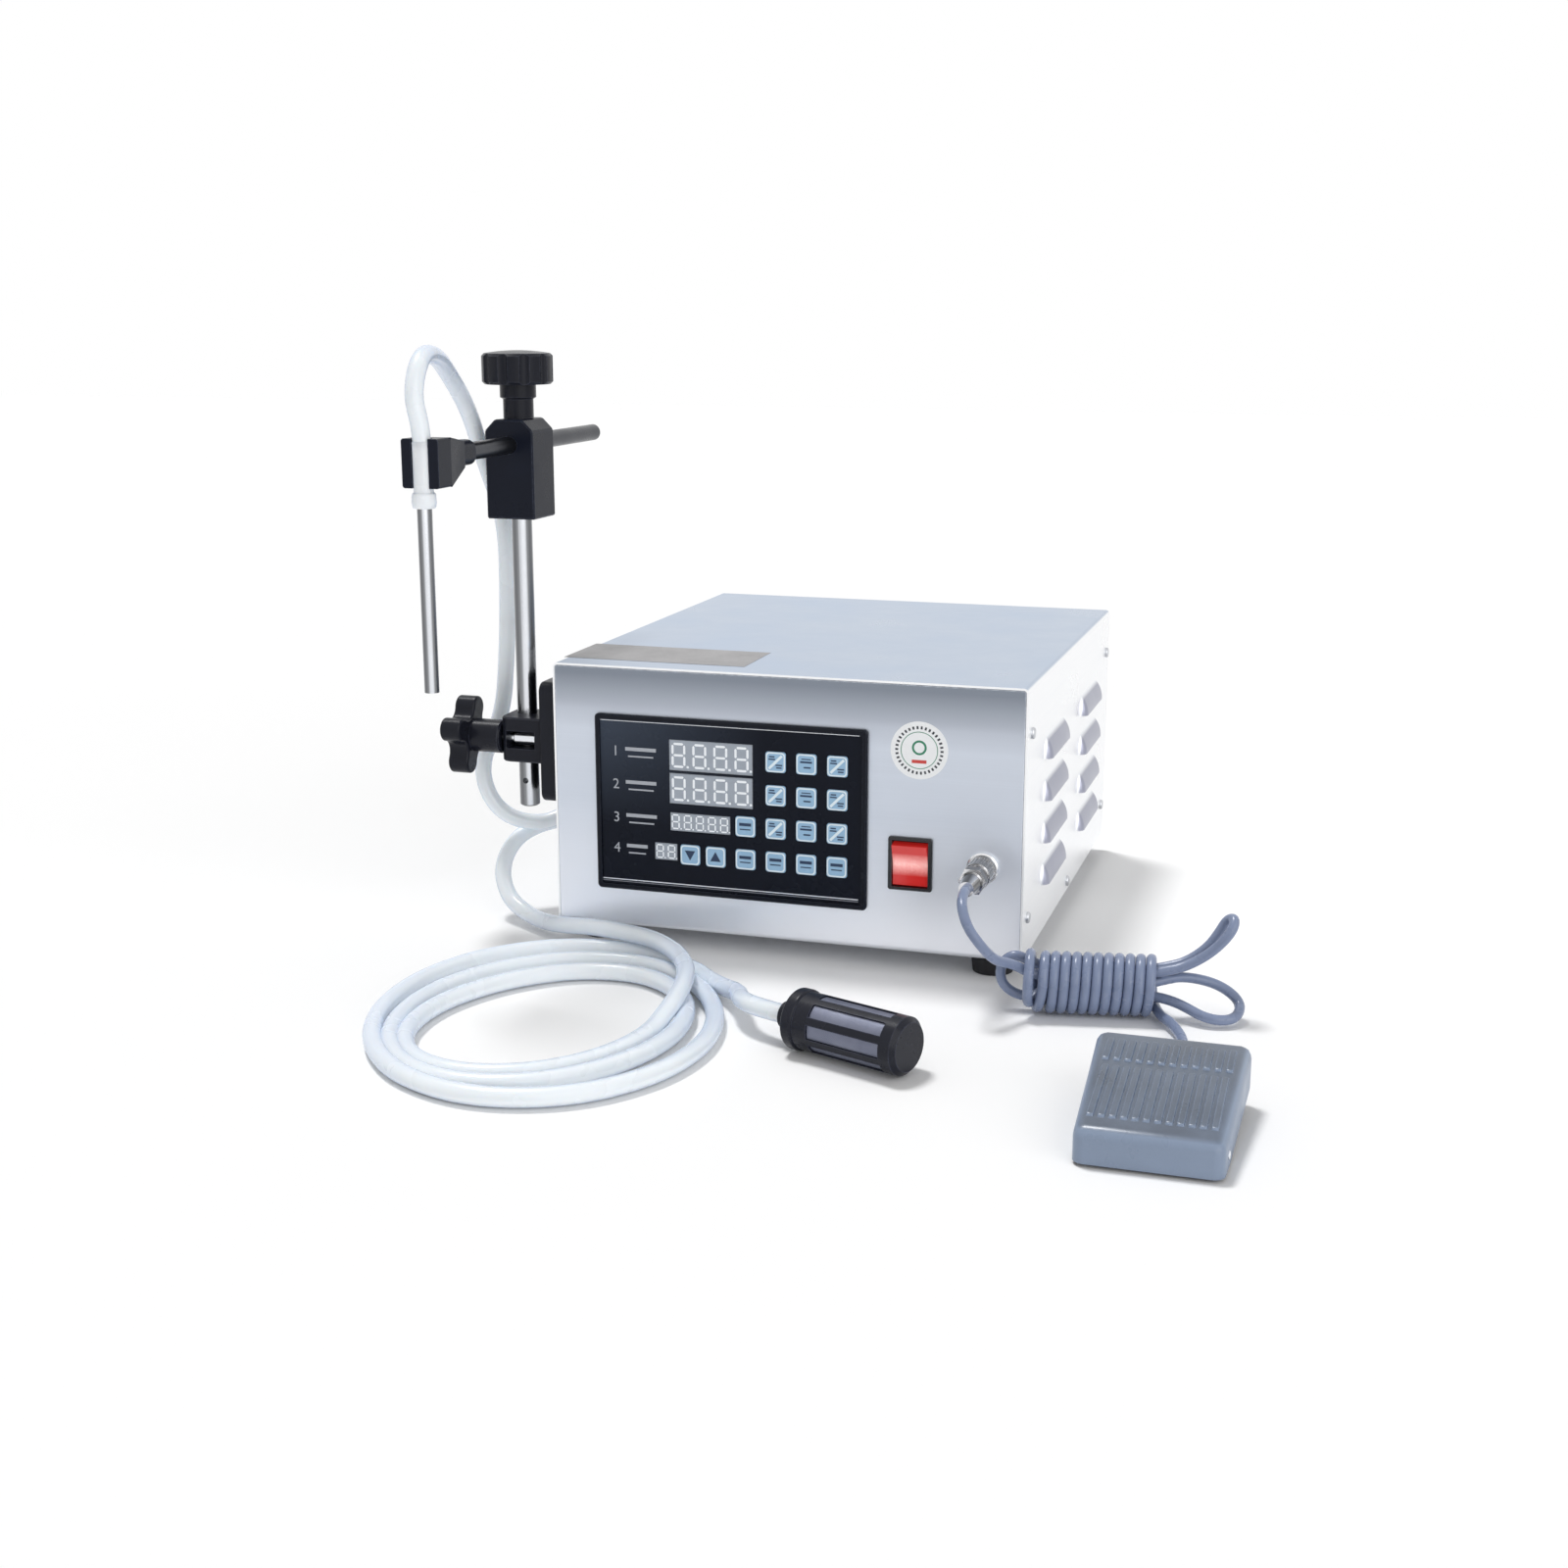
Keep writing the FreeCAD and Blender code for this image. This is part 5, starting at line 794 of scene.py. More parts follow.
class FILLER_OT_case(bpy.types.Operator):
    """Finish the case, its screws, feet and fittings"""

    bl_idname = "filler.case"
    bl_label = "Case"

    def execute(self, context):
        shades = colours()
        # Painted reflection on the front: paler towards the bottom, darker towards the top edge.
        painted_height_shade = (
            (0.090, 0.018, (0.88, 0.90, 0.95)),
            (0.130, 0.146, (0.48, 0.515, 0.585)),
            (0.142, 0.163, (0.23, 0.258, 0.305)),
        )
        front = brushed("front sheet", shades.front, 7.0, 1100.0, 0.34, painted_height_shade)
        # Painted shade: a darker, bluer colour for the cover's top, and a grey one for the louvre hoods.
        top, painted_hood_shade = (0.42, 0.495, 0.61), (0.34, 0.35, 0.43)
        cover = brushed("cover sheet", shades.cover, 6.0, 1000.0, 0.32, above=top, painted_hood_shade=painted_hood_shade)
        dress(front, "base_chassis")
        dress(cover, "top_cover")
        screw = finish(
            "screw steel",
            shaded(shades.rod, 0.7),
            0.3,
            metallic=1.0,
            grain=2600.0,
            depth=0.00002,
            vary=0.12,
            edge_wear_and_highlight=(0.85, 0.86, 0.9),
        )
        dress(screw, "cover_screws")
        rubber = finish(
            "foot rubber",
            (0.012, 0.012, 0.015),
            0.72,
            grain=900.0,
            depth=0.00008,
            vary=0.25,
            edge_wear_and_highlight=(0.05, 0.05, 0.055),
        )
        dress(rubber, "rubber_feet")
        inlet = finish(
            "inlet plastic",
            shades.plastic,
            0.42,
            grain=1300.0,
            depth=0.00005,
            vary=0.15,
            edge_wear_and_highlight=(0.10, 0.10, 0.12),
        )
        dress(inlet, "power_inlet")
        nickel = finish(
            "nickel plate",
            (0.80, 0.80, 0.81),
            0.16,
            metallic=1.0,
            grain=1800.0,
            depth=0.00001,
            vary=0.05,
            smudge=0.08,
            edge_wear_and_highlight=(0.95, 0.95, 0.96),
        )
        dress(nickel, "foot_socket", "hose_ports")
        return {"FINISHED"}


class FILLER_OT_panel(bpy.types.Operator):
    """Finish the key panel and print its displays, lines and figures"""

    bl_idname = "filler.panel"
    bl_label = "Key panel"

    def execute(self, context):
        shades = colours()
        rim = finish(
            "panel rim",
            shaded(shades.film, 0.8),
            0.24,
            grain=1400.0,
            depth=0.00002,
            vary=0.1,
            edge_wear_and_highlight=(0.05, 0.06, 0.09),
            gloss=0.15,
        )
        dress(rim, "panel_frame")
        dress(self.film(shades.film), "panel_overlay")
        dress(self.lens(shades.lens), "digit_displays")
        self.digits(shades.digit)
        silver = finish(
            "silver ink", (0.74, 0.76, 0.80), 0.3, metallic=0.8, grain=2500.0, depth=0.00001
        )
        bm = bmesh.new()
        bar(bm, PANEL_LINE_X, 40.9, PANEL_LINE_LONG, 0.55, "film")
        bar(bm, PANEL_LINE_X, 136.2, PANEL_LINE_LONG, 0.35, "film")
        new_piece("panel_lines", bm, "machine", silver)
        # Painted shadow: a grey line just under the lower silver line.
        shadow = finish(
            "painted line shadow", (0.20, 0.21, 0.24), 0.4, metallic=0.2, grain=2500.0, depth=0.00001
        )
        bm = bmesh.new()
        bar(bm, PANEL_LINE_X, 39.7, PANEL_LINE_LONG, 0.5, "film")
        new_piece("panel_line_shadow", bm, "machine", shadow)
        ink = finish("pale ink", (0.40, 0.42, 0.46), 0.45, grain=2500.0, depth=0.00001)
        for words, z in LEGENDS:
            name, spot = "legend_" + words, (LEGEND_FIGURE_X, z + 0.2)
            print_text(name, words, 8.5, *spot, "film", "machine", ink, "panel_film")
        bm = bmesh.new()
        for words, z in LEGENDS:
            long = 13.0 if words == "4" else 19.0
            bar(bm, LEGEND_BARS_X + long / 2, z + 1.9, long, 2.1, "film")
            bar(bm, LEGEND_BARS_X + long / 2, z - 2.4, long * 0.82, 0.9, "film")
        new_piece("legend_lines", bm, "machine", ink)
        return {"FINISHED"}

    def film(self, colour):
        """Dark film with a faint pale reflection painted at its upper left."""
        material, net, shader = new_material("panel film")
        grain = net.effect("fine grain", Scale=2200.0)
        mask = net.effect("smudges", Scale=22.0).outputs["Mask"]
        spot = net.add("SeparateXYZ", {0: net.place()}).outputs
        # Painted reflection: paler towards the upper left.
        painted_reflection = net.sum("MULTIPLY", net.span(spot[0], -0.010, -0.112), net.span(spot[2], 0.075, 0.142))
        look = net.between(grain.outputs["Shade"], shaded(colour, 0.88), shaded(colour, 1.12))
        look = net.between(painted_reflection, look, (0.055, 0.070, 0.100))
        rough = net.span(mask, 0.0, 1.0, 0.20, 0.32)
        net.surface(shader, look, rough, grain.outputs["Height"], 0.5, 0.00002)
        shader.inputs["Specular IOR Level"].default_value = 0.10
        return material

    def lens(self, colour):
        material, net, shader = new_material("display lens")
        grain = net.effect("fine grain", Scale=1700.0)
        look = net.between(grain.outputs["Shade"], shaded(colour, 0.9), shaded(colour, 1.1))
        # Painted shade: the lens is darkened along its edges.
        edge_mask = net.effect("edge wear and painted light", Radius=0.0009, Amount=0.8)
        look = net.between(edge_mask.outputs["Mask"], look, shaded(colour, 0.35))
        rough = net.span(grain.outputs["Shade"], 0.0, 1.0, 0.16, 0.26)
        net.surface(shader, look, rough, grain.outputs["Height"], 0.3, 0.00001)
        return material

    def digits(self, colour):
        bm = bmesh.new()
        for x, z, wide, high, count in DISPLAYS:
            pitch = wide / count
            tall, broad, stroke = high * 0.72, pitch * 0.56, high * 0.072
            for n in range(count):
                u = x - wide / 2 + pitch * (n + 0.5) - pitch * 0.04
                half, side = tall / 2, broad / 2
                for level in (-1, 0, 1):
                    bar(bm, u, z + level * half, broad - stroke * 0.7, stroke, "lens", 0.0, True)
                    for flank in (-1, 1):
                        if level:
                            spot = (u + flank * side, z + level * half / 2)
                            bar(bm, *spot, half - stroke * 0.7, stroke, "lens", 90.0, True)
                bar(bm, u + side + stroke * 1.5, z - half, stroke, stroke, "lens")
        material, net, shader = new_material("digit segment")
        grain = net.effect("fine grain", Scale=2000.0)
        look = net.between(grain.outputs["Shade"], shaded(colour, 0.92), shaded(colour, 1.06))
        net.feed(look, shader.inputs["Base Color"])
        # Painted light: the unlit segments give off a faint glow of their own colour.
        net.feed(look, shader.inputs["Emission Color"])
        shader.inputs["Emission Strength"].default_value = 0.16
        shader.inputs["Roughness"].default_value = 0.3
        new_piece("digit_segments", bm, "machine", material)


class FILLER_OT_keys(bpy.types.Operator):
    """Finish the keys and print their marks"""

    bl_idname = "filler.keys"
    bl_label = "Keys"

    def execute(self, context):
        shades = colours()
        body = finish(
            "key film",
            shades.key,
            0.3,
            grain=2000.0,
            vary=0.06,
            smudge=0.12,
            edge_wear_and_highlight=shaded(shades.key, 1.3),
            coat=0.3,
        )
        dark = finish("key ink", shades.key_mark, 0.4, grain=2500.0, depth=0.00001, vary=0.1)
        pale = finish(
            "key pale ink", (0.80, 0.90, 0.96), 0.35, grain=2500.0, depth=0.00001, vary=0.05
        )
        for number, (x, z) in enumerate(KEY_PLACES, 1):
            name = "key_%02d" % number
            dress(body, name)
            marks, edges = bmesh.new(), bmesh.new()
            frame_ring(edges, rounded(x, z, 11.5, 11.5, 2.3), rounded(x, z, 9.9, 9.9, 1.7), "key")
            if number in (1, 3, 4, 6, 7, 9):
                bar(edges, x, z, 11.0, 1.5, "key", 45.0)
                for flank in (-1, 1):
                    for step in (-0.75, 0.75):
                        spot = (x - flank * 2.1, z + flank * (2.4 + step))
                        bar(marks, *spot, 3.6 - 0.5 * step, 0.8, "key")
            elif number in (2, 5, 8):
                bar(marks, x, z + 1.2, 7.0, 1.1, "key")
                bar(marks, x, z + 2.9, 5.6, 0.6, "key")
                bar(marks, x + 0.6, z - 1.9, 4.6, 0.9, "key", 0.0, True)
            elif number in (10, 11, 12, 13, 14):
                bar(marks, x, z + 1.3, 7.2, 1.8, "key")
                bar(marks, x, z - 1.6, 6.4, 0.7, "key")
            else:
                sign = -1 if number == 15 else 1
                foot, tip = z - sign * 2.6, z + sign * 3.2
                patch(marks, [(x - 3.2, foot), (x + 3.2, foot), (x, tip)], "key")
            new_piece(name + "_marks", marks, name + "_body", dark)
            new_piece(name + "_border", edges, name + "_body", pale)
        return {"FINISHED"}


class FILLER_OT_switch(bpy.types.Operator):
    """Finish the mains switch and mark its rocker"""

    bl_idname = "filler.switch"
    bl_label = "Mains switch"

    def execute(self, context):
        shades = colours()
        house = finish(
            "switch plastic",
            (0.012, 0.012, 0.015),
            0.24,
            depth=0.00002,
            vary=0.1,
            edge_wear_and_highlight=(0.10, 0.10, 0.12),
        )
        dress(house, "switch_housing")
        dress(self.rocker(shades.switch, shades.glow), "switch_rocker")
        ink = finish("rocker ink", (0.90, 0.45, 0.43), 0.35, grain=2500.0, depth=0.00001)
        bm = bmesh.new()
        self.mark(bm, 1, self.upright())
        self.mark(bm, -1, self.ring())
        new_piece("rocker_marks", bm, "rocker", ink)
        return {"FINISHED"}

    def rocker(self, colour, glow):
        material, net, shader = new_material("rocker plastic")
        height = net.add("SeparateXYZ", {0: net.place()}).outputs[2]
        away = net.sum("ABSOLUTE", net.sum("SUBTRACT", height, 0.0640))
        grain = net.effect("fine grain", Scale=700.0)
        # Painted highlight: a pale band across the rocker's middle, near its ridge.
        painted_highlight = net.span(away, 0.0006, 0.0068, 1.0, 0.0)
        painted_highlight = net.sum("MULTIPLY", painted_highlight, net.span(grain.outputs["Shade"], 0.25, 0.55, 0.55, 1.0))
        look = net.between(grain.outputs["Shade"], shaded(colour, 0.9), shaded(colour, 1.1))
        look = net.between(painted_highlight, look, tuple(glow))
        rough = net.span(grain.outputs["Shade"], 0.0, 1.0, 0.10, 0.2)
        net.surface(shader, look, rough, grain.outputs["Height"], 0.3, 0.00001)
        # Painted light: the whole rocker emits its own colour.
        net.feed(look, shader.inputs["Emission Color"])
        shader.inputs["Emission Strength"].default_value = 0.42
        shader.inputs["Coat Weight"].default_value = 0.5
        return material

    def upright(self):
        bm = bmesh.new()
        bmesh.ops.create_grid(bm, x_segments=1, y_segments=1, size=1.0)
        bmesh.ops.scale(bm, vec=(0.0005, 0.0021, 1.0), verts=bm.verts[:])
        return bm

    def ring(self):
        bm = bmesh.new()
        outer = bmesh.ops.create_circle(bm, segments=28, radius=0.0022)["verts"]
        inner = bmesh.ops.create_circle(bm, segments=28, radius=0.0014)["verts"]
        edges = {edge for vert in outer + inner for edge in vert.link_edges}
        bmesh.ops.bridge_loops(bm, edges=list(edges))
        return bm

    def mark(self, target, half, source):
        """Lays a flat mark on the upper or lower half of the tilted rocker."""
        bmesh.ops.solidify(source, geom=source.faces[:], thickness=0.00012)
        slant, straight = ROCKER_HALF_TILT
        up = Vector((0.0, -slant * half, straight))
        out = Vector((0.0, -straight, -slant * half))
        middle = Vector((0.0, -0.0053, 0.0072 * half)) + out * 0.00004
        spot = Matrix.Identity(4)
        for n, axis in enumerate((Vector((1, 0, 0)), up, out)):
            for row in range(3):
                spot[row][n] = axis[row]
        spot.translation = middle
        tilt = Matrix.Rotation(math.radians(ROCKER_REST_TILT), 4, "X")
        turn = Matrix.Translation(ROCKER_PIVOT) @ tilt
        bmesh.ops.transform(source, matrix=turn @ spot, verts=source.verts[:])
        draft = bpy.data.meshes.new("draft")
        source.to_mesh(draft)
        source.free()
        target.from_mesh(draft)
        bpy.data.meshes.remove(draft)


class FILLER_OT_labels(bpy.types.Operator):
    """Make the bare round sticker and the bare label strip"""

    bl_idname = "filler.labels"
    bl_label = "Bare labels"

    def execute(self, context):
        white = finish(
            "sticker paper", (0.93, 0.94, 0.95), 0.42, grain=1300.0, depth=0.00001, vary=0.03
        )
        bm = bmesh.new()
        patch(bm, round_outline(STICKER_X, STICKER_Z, STICKER_RADIUS, 64), "sheet")
        new_piece("round_sticker", bm, "machine", white)
        green = finish("green ink", (0.03, 0.22, 0.12), 0.5, grain=1300.0, depth=0.00001, vary=0.1)
        FACE["sticker"], LEDGE["sticker"] = FACE["sheet"] - LEDGE["sheet"], 0.04
        bm = bmesh.new()
        for lift, outer, inner, count in ((0.0, 10.6, 10.2, 64), (1.5, 4.2, 3.0, 40)):
            rings = [round_outline(STICKER_X, STICKER_Z + lift, r, count) for r in (outer, inner)]
            frame_ring(bm, *rings, "sticker")
        new_piece("sticker_ring", bm, "machine", green)
        dark = finish("dark ink", (0.03, 0.035, 0.045), 0.5, grain=1300.0, depth=0.00001, vary=0.1)
        bm = bmesh.new()
        for n in range(DASH_COUNT):
            turn = 2 * math.pi * n / DASH_COUNT
            x = STICKER_X + DASH_RADIUS * math.cos(turn)
            z = STICKER_Z + DASH_RADIUS * math.sin(turn)
            bar(bm, x, z, 1.7, 1.1, "sticker", math.degrees(turn))
        new_piece("sticker_dashes", bm, "machine", dark)
        red = finish("red ink", (0.62, 0.06, 0.05), 0.5, grain=1300.0, depth=0.00001, vary=0.1)
        bm = bmesh.new()
        bar(bm, STICKER_X, 123.6, 8.4, 1.9, "sticker")
        new_piece("sticker_bar", bm, "machine", red)
        paper = finish(
            "label strip", (0.29, 0.285, 0.29), 0.5, grain=420.0, depth=0.00001, vary=0.45
        )
        bm = bmesh.new()
        bmesh.ops.create_grid(bm, x_segments=1, y_segments=1, size=0.5)
        bmesh.ops.scale(bm, vec=(0.112, 0.050, 1.0), verts=bm.verts[:])
        bmesh.ops.translate(bm, vec=(-0.0845, -0.1065, 0.16802), verts=bm.verts[:])
        border = bmesh.ops.inset_region(
            bm, faces=bm.faces[:], thickness=0.0008, use_even_offset=True
        )
        for face in border["faces"]:
            face.material_index = 1
        bmesh.ops.solidify(bm, geom=bm.faces[:], thickness=-0.00012)
        strip = new_piece("label_strip", bm, "machine", paper)
        strip.data.materials.append(dark)
        return {"FINISHED"}


# Painted reflections on round metal: how bright it is from its middle, 0, to its edge, 1.

ROD_PAINTED_REFLECTION = [
    (0.0, 1.0),
    (0.035, 0.92),
    (0.10, 0.34),
    (0.28, 0.20),
    (0.62, 0.24),
    (0.80, 0.60),
    (0.92, 0.20),
    (1.0, 0.15),
]
PLUG_PAINTED_REFLECTION = [
    (0.0, 0.85),
    (0.05, 1.0),
    (0.13, 0.14),
    (0.26, 0.10),
    (0.36, 0.95),
    (0.50, 0.90),
    (0.60, 0.12),
    (0.78, 0.16),
    (0.90, 0.90),
    (1.0, 0.50),
]


class FILLER_OT_mast(bpy.types.Operator):
    """Finish the pole, its clamp, the head block, the cross rod and the nozzle"""

    bl_idname = "filler.mast"
    bl_label = "Mast and arm"

    def execute(self, context):
        shades = colours()
        rod = finish(
            "bright rod",
            shades.rod,
            0.2,
            metallic=1.0,
            grain=1900.0,
            depth=0.00001,
            vary=0.04,
            smudge=0.06,
            rim=ROD_PAINTED_REFLECTION,
        )
        dress(rod, "pole", "nozzle")
        stud = finish(
            "bright stud",
            shades.rod,
            0.25,
            metallic=1.0,
            grain=1900.0,
            depth=0.00002,
            vary=0.06,
            edge_wear_and_highlight=(0.95, 0.95, 0.96),
        )
        dress(stud, "clamp_stud")
        dark = finish(
            "dark rod",
            shades.dark_rod,
            0.3,
            metallic=0.9,
            depth=0.00002,
            vary=0.15,
            edge_wear_and_highlight=(0.35, 0.36, 0.38),
        )
        dress(dark, "cross_rod")
        block = finish(
            "black alloy",
            shades.block,
            0.30,
            grain=1400.0,
            depth=0.00004,
            vary=0.25,
            edge_wear_and_highlight=(0.09, 0.11, 0.16),
            gloss=0.13,
        )
        dress(block, "arm_block", "nozzle_holder")
        knob = finish(
            "knob plastic",
            shades.plastic,
            0.26,
            grain=1100.0,
            depth=0.00005,
            vary=0.2,
            edge_wear_and_highlight=(0.09, 0.10, 0.14),
            gloss=0.16,
        )
        dress(knob, "arm_knob", "clamp_knob")
        bracket = finish(
            "bracket plastic",
            shades.plastic,
            0.36,
            grain=1000.0,
            depth=0.00006,
            vary=0.2,
            edge_wear_and_highlight=(0.09, 0.10, 0.14),
            gloss=0.16,
        )
        dress(bracket, "pole_bracket")
        return {"FINISHED"}


def silicone(name, colour):
    """Milky silicone: a soft skin over light that scatters inside, with a painted blue-grey shade towards its
    rims.
    """
    material, net, shader = new_material(name)
    grain = net.effect("fine grain", Scale=420.0)
    mask = net.effect("smudges", Scale=16.0).outputs["Mask"]
    facing = net.add("LayerWeight", {"Blend": 0.35}).outputs["Facing"]
    look = net.between(grain.outputs["Shade"], shaded(colour, 0.96), shaded(colour, 1.03))
    look = net.between(net.sum("MULTIPLY", mask, 0.25), look, shaded(colour, 0.95))
    # Painted shade: the tube turns blue-grey where its faces turn away from the view.
    look = net.between(net.span(facing, 0.25, 1.0, 0.0, 0.85), look, (0.48, 0.60, 0.84))
    rough = net.span(mask, 0.0, 1.0, 0.20, 0.32)
    net.surface(shader, look, rough, grain.outputs["Height"], 0.25, 0.00004)
    shader.inputs["Subsurface Weight"].default_value = 0.25
    shader.inputs["Subsurface Radius"].default_value = (0.004, 0.005, 0.006)
    shader.inputs["Subsurface Scale"].default_value = 1.0
    shader.inputs["Coat Weight"].default_value = 0.2
    shader.inputs["Coat Roughness"].default_value = 0.2
    return material


class FILLER_OT_outlet_hose(bpy.types.Operator):
    """Make the outlet hose from the rear port up the mast to the nozzle"""

    bl_idname = "filler.outlet_hose"
    bl_label = "Outlet hose"

    def execute(self, context):
        milk = bpy.data.materials.get("milky silicone") or silicone("milky silicone", colours().hose)
        for name, route, bodies, start, end in OUTLET_STRETCHES:
            self.stretch(name, route, milk, bodies, start, end)
        self.sleeve(milk)
        return {"FINISHED"}

    def stretch(self, name, route, material, bodies, start, end):
        wide = sizes().outlet_hose
        path = line_of(route)
        mesh = as_mesh(route_curve(name + "_draft", route, wide))
        bm = bmesh.new()
        bm.from_mesh(mesh)
        bpy.data.meshes.remove(mesh)
        bmesh.ops.remove_doubles(bm, verts=bm.verts[:], dist=1e-6)
        tube = new_piece(name, bm, None, material, smooth=True)
        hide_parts("outlet_hose_" + name.split("_")[1])
        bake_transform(tube)

    def sleeve(self, material):
        """The hose's end, stretched over the nozzle, with a thicker collar at its mouth."""
        own = sizes()
        outer = own.outlet_hose / 2 + 0.0003
        collar = outer + 0.0011
        top, low, bore = own.sleeve_top, own.sleeve_end, own.nozzle_bore
        lip = top + 0.0028
        profile = [
            (bore, top),
            (outer - 0.00025, top),
            (outer - 0.00025, lip),
            (outer, lip - 0.0003),
            (outer, low + 0.0085),
            (collar - 0.0003, low + 0.0078),
            (collar, low + 0.0070),
            (collar + 0.0002, low + 0.0030),
            (collar - 0.0002, low + 0.0006),
            (collar - 0.0006, low),
            (bore, low),
        ]
        bm = bmesh.new()
        verts = [bm.verts.new((r, 0.0, z)) for r, z in profile]
        edges = [bm.edges.new((a, b)) for a, b in zip(verts, verts[1:] + verts[:1])]
        bmesh.ops.spin(
            bm,
            geom=verts + edges,
            axis=(0, 0, 1),
            cent=(0, 0, 0),
            angle=2 * math.pi,
            steps=40,
            use_merge=True,
        )
        bmesh.ops.remove_doubles(bm, verts=bm.verts[:], dist=1e-7)
        bmesh.ops.translate(bm, verts=bm.verts[:], vec=NOZZLE_AXIS)
        new_piece("outlet_sleeve", bm, "nozzle_group", material, smooth=True)


def on_coil(turn, across, height):
    """A point of the coil: an angle in degrees, a share from inner to outer ring, and a height."""
    x, y = (a + (b - a) * across for a, b in zip(COIL_INNER["centre"], COIL_OUTER["centre"]))
    long, short, tilt = (
        COIL_INNER[key] + (COIL_OUTER[key] - COIL_INNER[key]) * across
        for key in ("long", "short", "turn")
    )
    phi = math.radians(turn - tilt)
    reach = 1 / math.sqrt((math.cos(phi) / long) ** 2 + (math.sin(phi) / short) ** 2)
    angle = math.radians(turn)
    return (x + reach * math.cos(angle), y + reach * math.sin(angle), height)


def eased(value):
    value = min(1.0, max(0.0, value))
    return value * value * (3 - 2 * value)


class FILLER_OT_suction_hose(bpy.types.Operator):
    """Make the suction hose with its loose coil on the bench"""

    bl_idname = "filler.suction_hose"
    bl_label = "Suction hose"

    def execute(self, context):
        milk = bpy.data.materials.get("milky silicone") or silicone("milky silicone", colours().hose)
        wide = sizes().suction_hose
        route = list(SUCTION_LEAD)
        route += [on_coil(turn, across, height) for turn, across, height in CROSSING]
        for n in range(COIL_POINTS):
            turned = COIL_SWEEP * (n + 0.6) / (COIL_POINTS - 0.4)
            across = 0.44 * eased((turned - 235) / 150) + 0.56 * eased((turned - 600) / 150)
            across += 0.035 * math.sin(math.radians(turned * 1.37 + 40))
            rest = COIL_REST + 0.0012 * eased((60 - turned) / 60)
            route.append(on_coil(12 - turned, min(1.0, max(0.0, across)), rest))
        route += SUCTION_TAIL
        hose = route_curve("suction_hose", route, wide)
        hose.data.materials.append(milk)
        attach(hose, "machine")
        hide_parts("suction_hose_lead", "suction_hose_coil", "suction_hose_tail")
        along(line_of(route))
        return {"FINISHED"}


class FILLER_OT_strainer(bpy.types.Operator):
    """Finish the suction strainer and fit its wire screens"""

    bl_idname = "filler.strainer"
    bl_label = "Strainer"

    def execute(self, context):
        shades = colours()
        cap = finish(
            "strainer plastic",
            shaded(shades.plastic, 1.3),
            0.28,
            grain=1000.0,
            depth=0.00005,
            vary=0.2,
            edge_wear_and_highlight=(0.10, 0.11, 0.17),
            gloss=0.18,
        )
        dress(cap, "strainer_cap", "strainer_cage")
        bm = bmesh.new()
        half = math.degrees(SCREEN_HALF_WIDTH / SCREEN_RADIUS)
        sweep = math.radians(2 * half)
        for n in range(SCREEN_COUNT):
            ends = [bm.verts.new((x, 0.0, SCREEN_RADIUS)) for x in SCREEN_ENDS]
            edge = bm.edges.new(ends)
            turn = Matrix.Rotation(math.radians(45 * n - half), 4, "X")
            bmesh.ops.transform(bm, matrix=turn, verts=ends)
            bmesh.ops.spin(
                bm, geom=ends + [edge], axis=(1, 0, 0), cent=(0, 0, 0), angle=sweep, steps=5
            )
        bmesh.ops.remove_doubles(bm, verts=bm.verts[:], dist=1e-7)
        bmesh.ops.recalc_face_normals(bm, faces=bm.faces[:])
        bmesh.ops.solidify(bm, geom=bm.faces[:], thickness=0.0004)
        turn = Matrix.Rotation(math.radians(-STRAINER_TURN), 4, "Z")
        spot = Matrix.Translation(STRAINER_END) @ turn
        bmesh.ops.transform(bm, matrix=spot, verts=bm.verts[:])
        new_piece("strainer_screens", bm, "machine", self.screen(), smooth=True)
        return {"FINISHED"}

    def screen(self):
        """Fine wire cloth, its weave set square to the strainer."""
        material, net, shader = new_material("wire screen")
        square = (0.0, 0.0, math.radians(STRAINER_TURN))
        turned = net.add("Mapping", {"Vector": net.place(), "Rotation": square}).outputs[0]
        parts = net.add("SeparateXYZ", {0: turned}).outputs
        wires = 7000.0
        warp = net.sum("SINE", net.sum("MULTIPLY", parts[0], wires))
        weft = net.sum("SINE", net.sum("MULTIPLY", net.sum("ADD", parts[1], parts[2]), wires))
        weave = net.span(net.sum("MULTIPLY", warp, weft), -1.0, 1.0)
        look = net.between(weave, (0.09, 0.10, 0.155), (0.21, 0.225, 0.30))
        cloud = net.effect("smudges", Scale=60.0).outputs["Mask"]
        look = net.between(net.sum("MULTIPLY", cloud, 0.4), look, (0.28, 0.30, 0.38))
        rough = net.span(weave, 0.0, 1.0, 0.45, 0.3)
        net.surface(shader, look, rough, weave, 0.6, 0.0001)
        shader.inputs["Metallic"].default_value = 0.4
        return material


def on_hank(along_drum, across, up):
    """A point of the hank, given in millimetres in the hank's own frame."""
    spot = HANK_MIDDLE + HANK_ALONG * along_drum * 0.001
    spot = spot + HANK_ACROSS * across * 0.001
    return spot + Vector((0, 0, up * 0.001))


